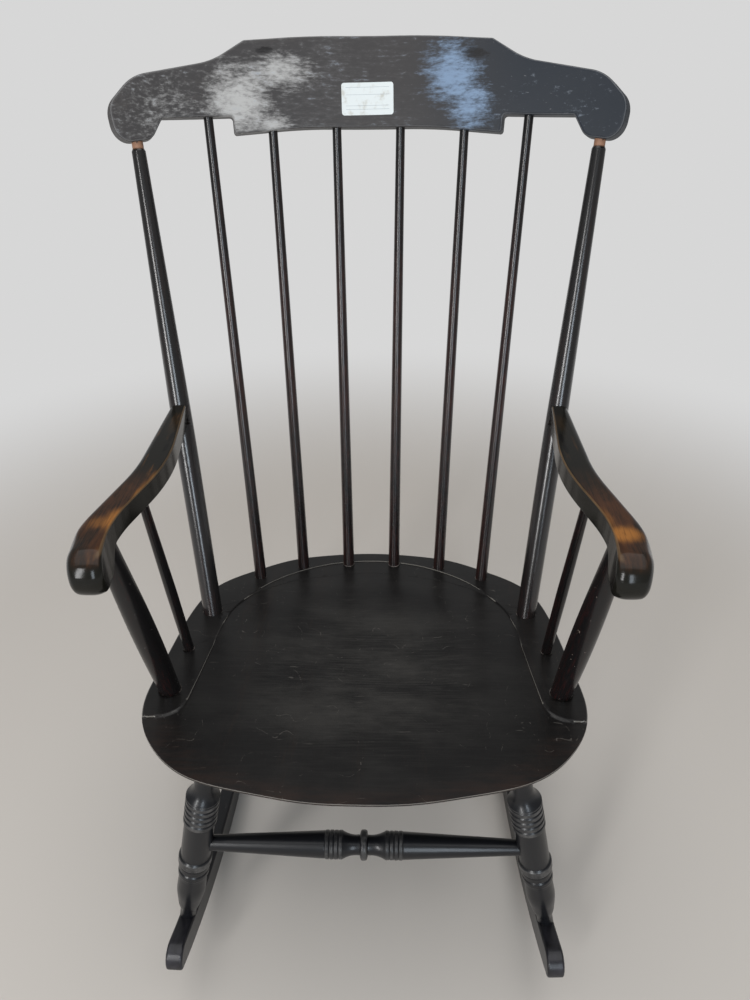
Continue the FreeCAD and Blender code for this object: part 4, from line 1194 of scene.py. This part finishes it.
@dataclass
class Rockers:
    """The two curved rockers, scuffed along their soles."""

    sheen: Colour = (0.030, 0.028, 0.036)
    sole: Colour = (0.07, 0.055, 0.045)
    wear: Noise = Noise(90.0, stretch=(1, 0.4, 1), detail=4.0, roughness=0.65, seed=4.0)
    lacquer: Lacquer = Lacquer(
        black=(0.0065, 0.0067, 0.0080), brown=(0.014, 0.011, 0.010), grain=Grain.DEEP, show=0.45,
        roughness=0.32, coat=0.2)

    def make(self) -> None:
        """Dress both rockers."""
        for side in Side:
            name = f"rocker_{side.word}"
            recipe, layers, chair = self.lacquer.start(f"{name}_lacquer", CHAIR)
            down = recipe.facing(-UP)
            depth = recipe.parts(chair)[1]
            wear = recipe.noise(chair, self.wear)
            nose = recipe.rise(depth, -0.26, -0.34)
            # Painted sheen on the noses.
            layers.lay(nose * recipe.rise(wear, 0.3, 0.7) * 0.7, self.sheen)
            layers.lay(recipe.rise(down, 0.80, 0.95) * recipe.rise(wear, 0.3, 0.6), self.sole, 0.6, 0.0)
            layers.lay(recipe.rise(wear, 0.68, 0.78) * 0.35, self.lacquer.rubbed)
            dress(name, layers.material(0.2))


# Studio

@dataclass
class Studio:
    """A plain pale floor and soft lamps."""

    floor_radius: float = 6.0
    floor_sides: int = 96
    floor_colour: Colour = (0.56, 0.525, 0.485)
    haze_colour: Colour = (0.68, 0.68, 0.68)
    fade_from: float = 0.8
    fade_to: float = 1.9
    sky: Colour = WHITE
    sky_strength: float = 0.32
    aim: Triple = (0.0, 0.0, 0.5)
    lamps: tuple[tuple[str, Triple, Pair, float, Colour], ...] = (
        ("window_left", (-1.35, -2.5, 1.35), (0.40, 1.7), 40.0, WHITE),
        ("window_right", (0.50, -2.9, 1.20), (0.60, 1.6), 30.0, (0.80, 0.90, 1.0)),
        ("ceiling", (0.0, -0.2, 3.2), (4.2, 3.6), 58.0, WHITE),
    )

    def add_floor(self) -> None:
        """Lay a round floor that fades into the backdrop's colour."""
        build = bmesh.new()
        bmesh.ops.create_circle(build, cap_ends=True, radius=self.floor_radius, segments=self.floor_sides)
        obj = place_object("floor", as_mesh(build, "floor"))
        recipe = Recipe("pale_floor")
        far = recipe.rise(recipe.radius(recipe.place()), self.fade_from, self.fade_to)
        shade = recipe.add("ShaderNodeBsdfDiffuse", inputs={"Color": self.floor_colour})
        glow = recipe.add("ShaderNodeEmission", inputs={"Color": self.haze_colour, "Strength": 1.0})
        mixed = recipe.add("ShaderNodeMixShader", inputs={0: far, 1: shade, 2: glow})
        obj.data.materials.append(recipe.close(mixed))

    def add_lamp(self, name: str, place: Triple, size: Pair, power: float, colour: Colour) -> None:
        """Hang one soft rectangular lamp.

        Args:
            name: the lamp's name.
            place: where it hangs, facing the chair.
            size: its width and height.
            power: its power in watts.
            colour: the tint of its light.
        """
        lamp = bpy.data.lights.new(name, "AREA")
        lamp.shape = "RECTANGLE"
        lamp.size, lamp.size_y = size
        lamp.energy = power
        lamp.color = colour
        obj = place_object(name, lamp)
        obj.location = place
        obj.rotation_euler = (Vector(self.aim) - obj.location).to_track_quat("-Z", "Y").to_euler()

    def light(self) -> None:
        """Set the world and hang the lamps."""
        recipe = Recipe("soft_sky", "worlds")
        lit = recipe.add("ShaderNodeBackground", inputs={"Color": self.sky, "Strength": self.sky_strength})
        seen = recipe.add("ShaderNodeBackground", inputs={"Color": self.haze_colour})
        straight = recipe.add("ShaderNodeLightPath", output="Is Camera Ray")
        mixed = recipe.add("ShaderNodeMixShader", inputs={0: straight, 1: lit, 2: seen})
        bpy.context.scene.world = recipe.close(mixed)
        for lamp in self.lamps:
            self.add_lamp(*lamp)

    def make(self) -> None:
        """Build the whole studio."""
        self.add_floor()
        self.light()
        bpy.context.scene.view_settings.view_transform = "Standard"


@dataclass(frozen=True)
class Viewpoint:
    """Where the picture is taken from, in the deck's frame."""

    place: Triple = (0.031977, -0.855090, 0.587292)
    turn: Triple = (64.032, 0.3253, 1.3433)
    focal_pixels: float = 751.0
    tall_pixels: float = 1000.0
    sensor: float = 36.0

    def make(self, deck: Axes) -> None:
        """Set up the camera for a frame of 750 by 1000."""
        lens = bpy.data.cameras.new("viewpoint")
        lens.sensor_fit = "VERTICAL"
        lens.sensor_height = self.sensor
        lens.lens = self.sensor * self.focal_pixels / self.tall_pixels
        lens.clip_start = 0.01
        obj = place_object("viewpoint", lens)
        own = Euler([math.radians(angle) for angle in self.turn]).to_matrix()
        obj.location = deck.point(*self.place)
        obj.rotation_euler = (deck.turn @ own).to_euler()
        bpy.context.scene.camera = obj


def main() -> None:
    """Dress the chair, add its small pieces, and set up the studio and the camera."""
    logging.basicConfig(level=logging.INFO, format="%(name)s: %(message)s")
    seat = Seat()
    deck = seat.deck()
    seat.make(deck)
    crest = CrestRail()
    crest.dress(deck)
    BlankLabel().make(crest.axes(deck))
    BackSticks().make()
    Arms().make()
    Undercarriage().make()
    Rockers().make()
    Studio().make()
    Viewpoint().make(deck)


if __name__ == "__main__":
    main()
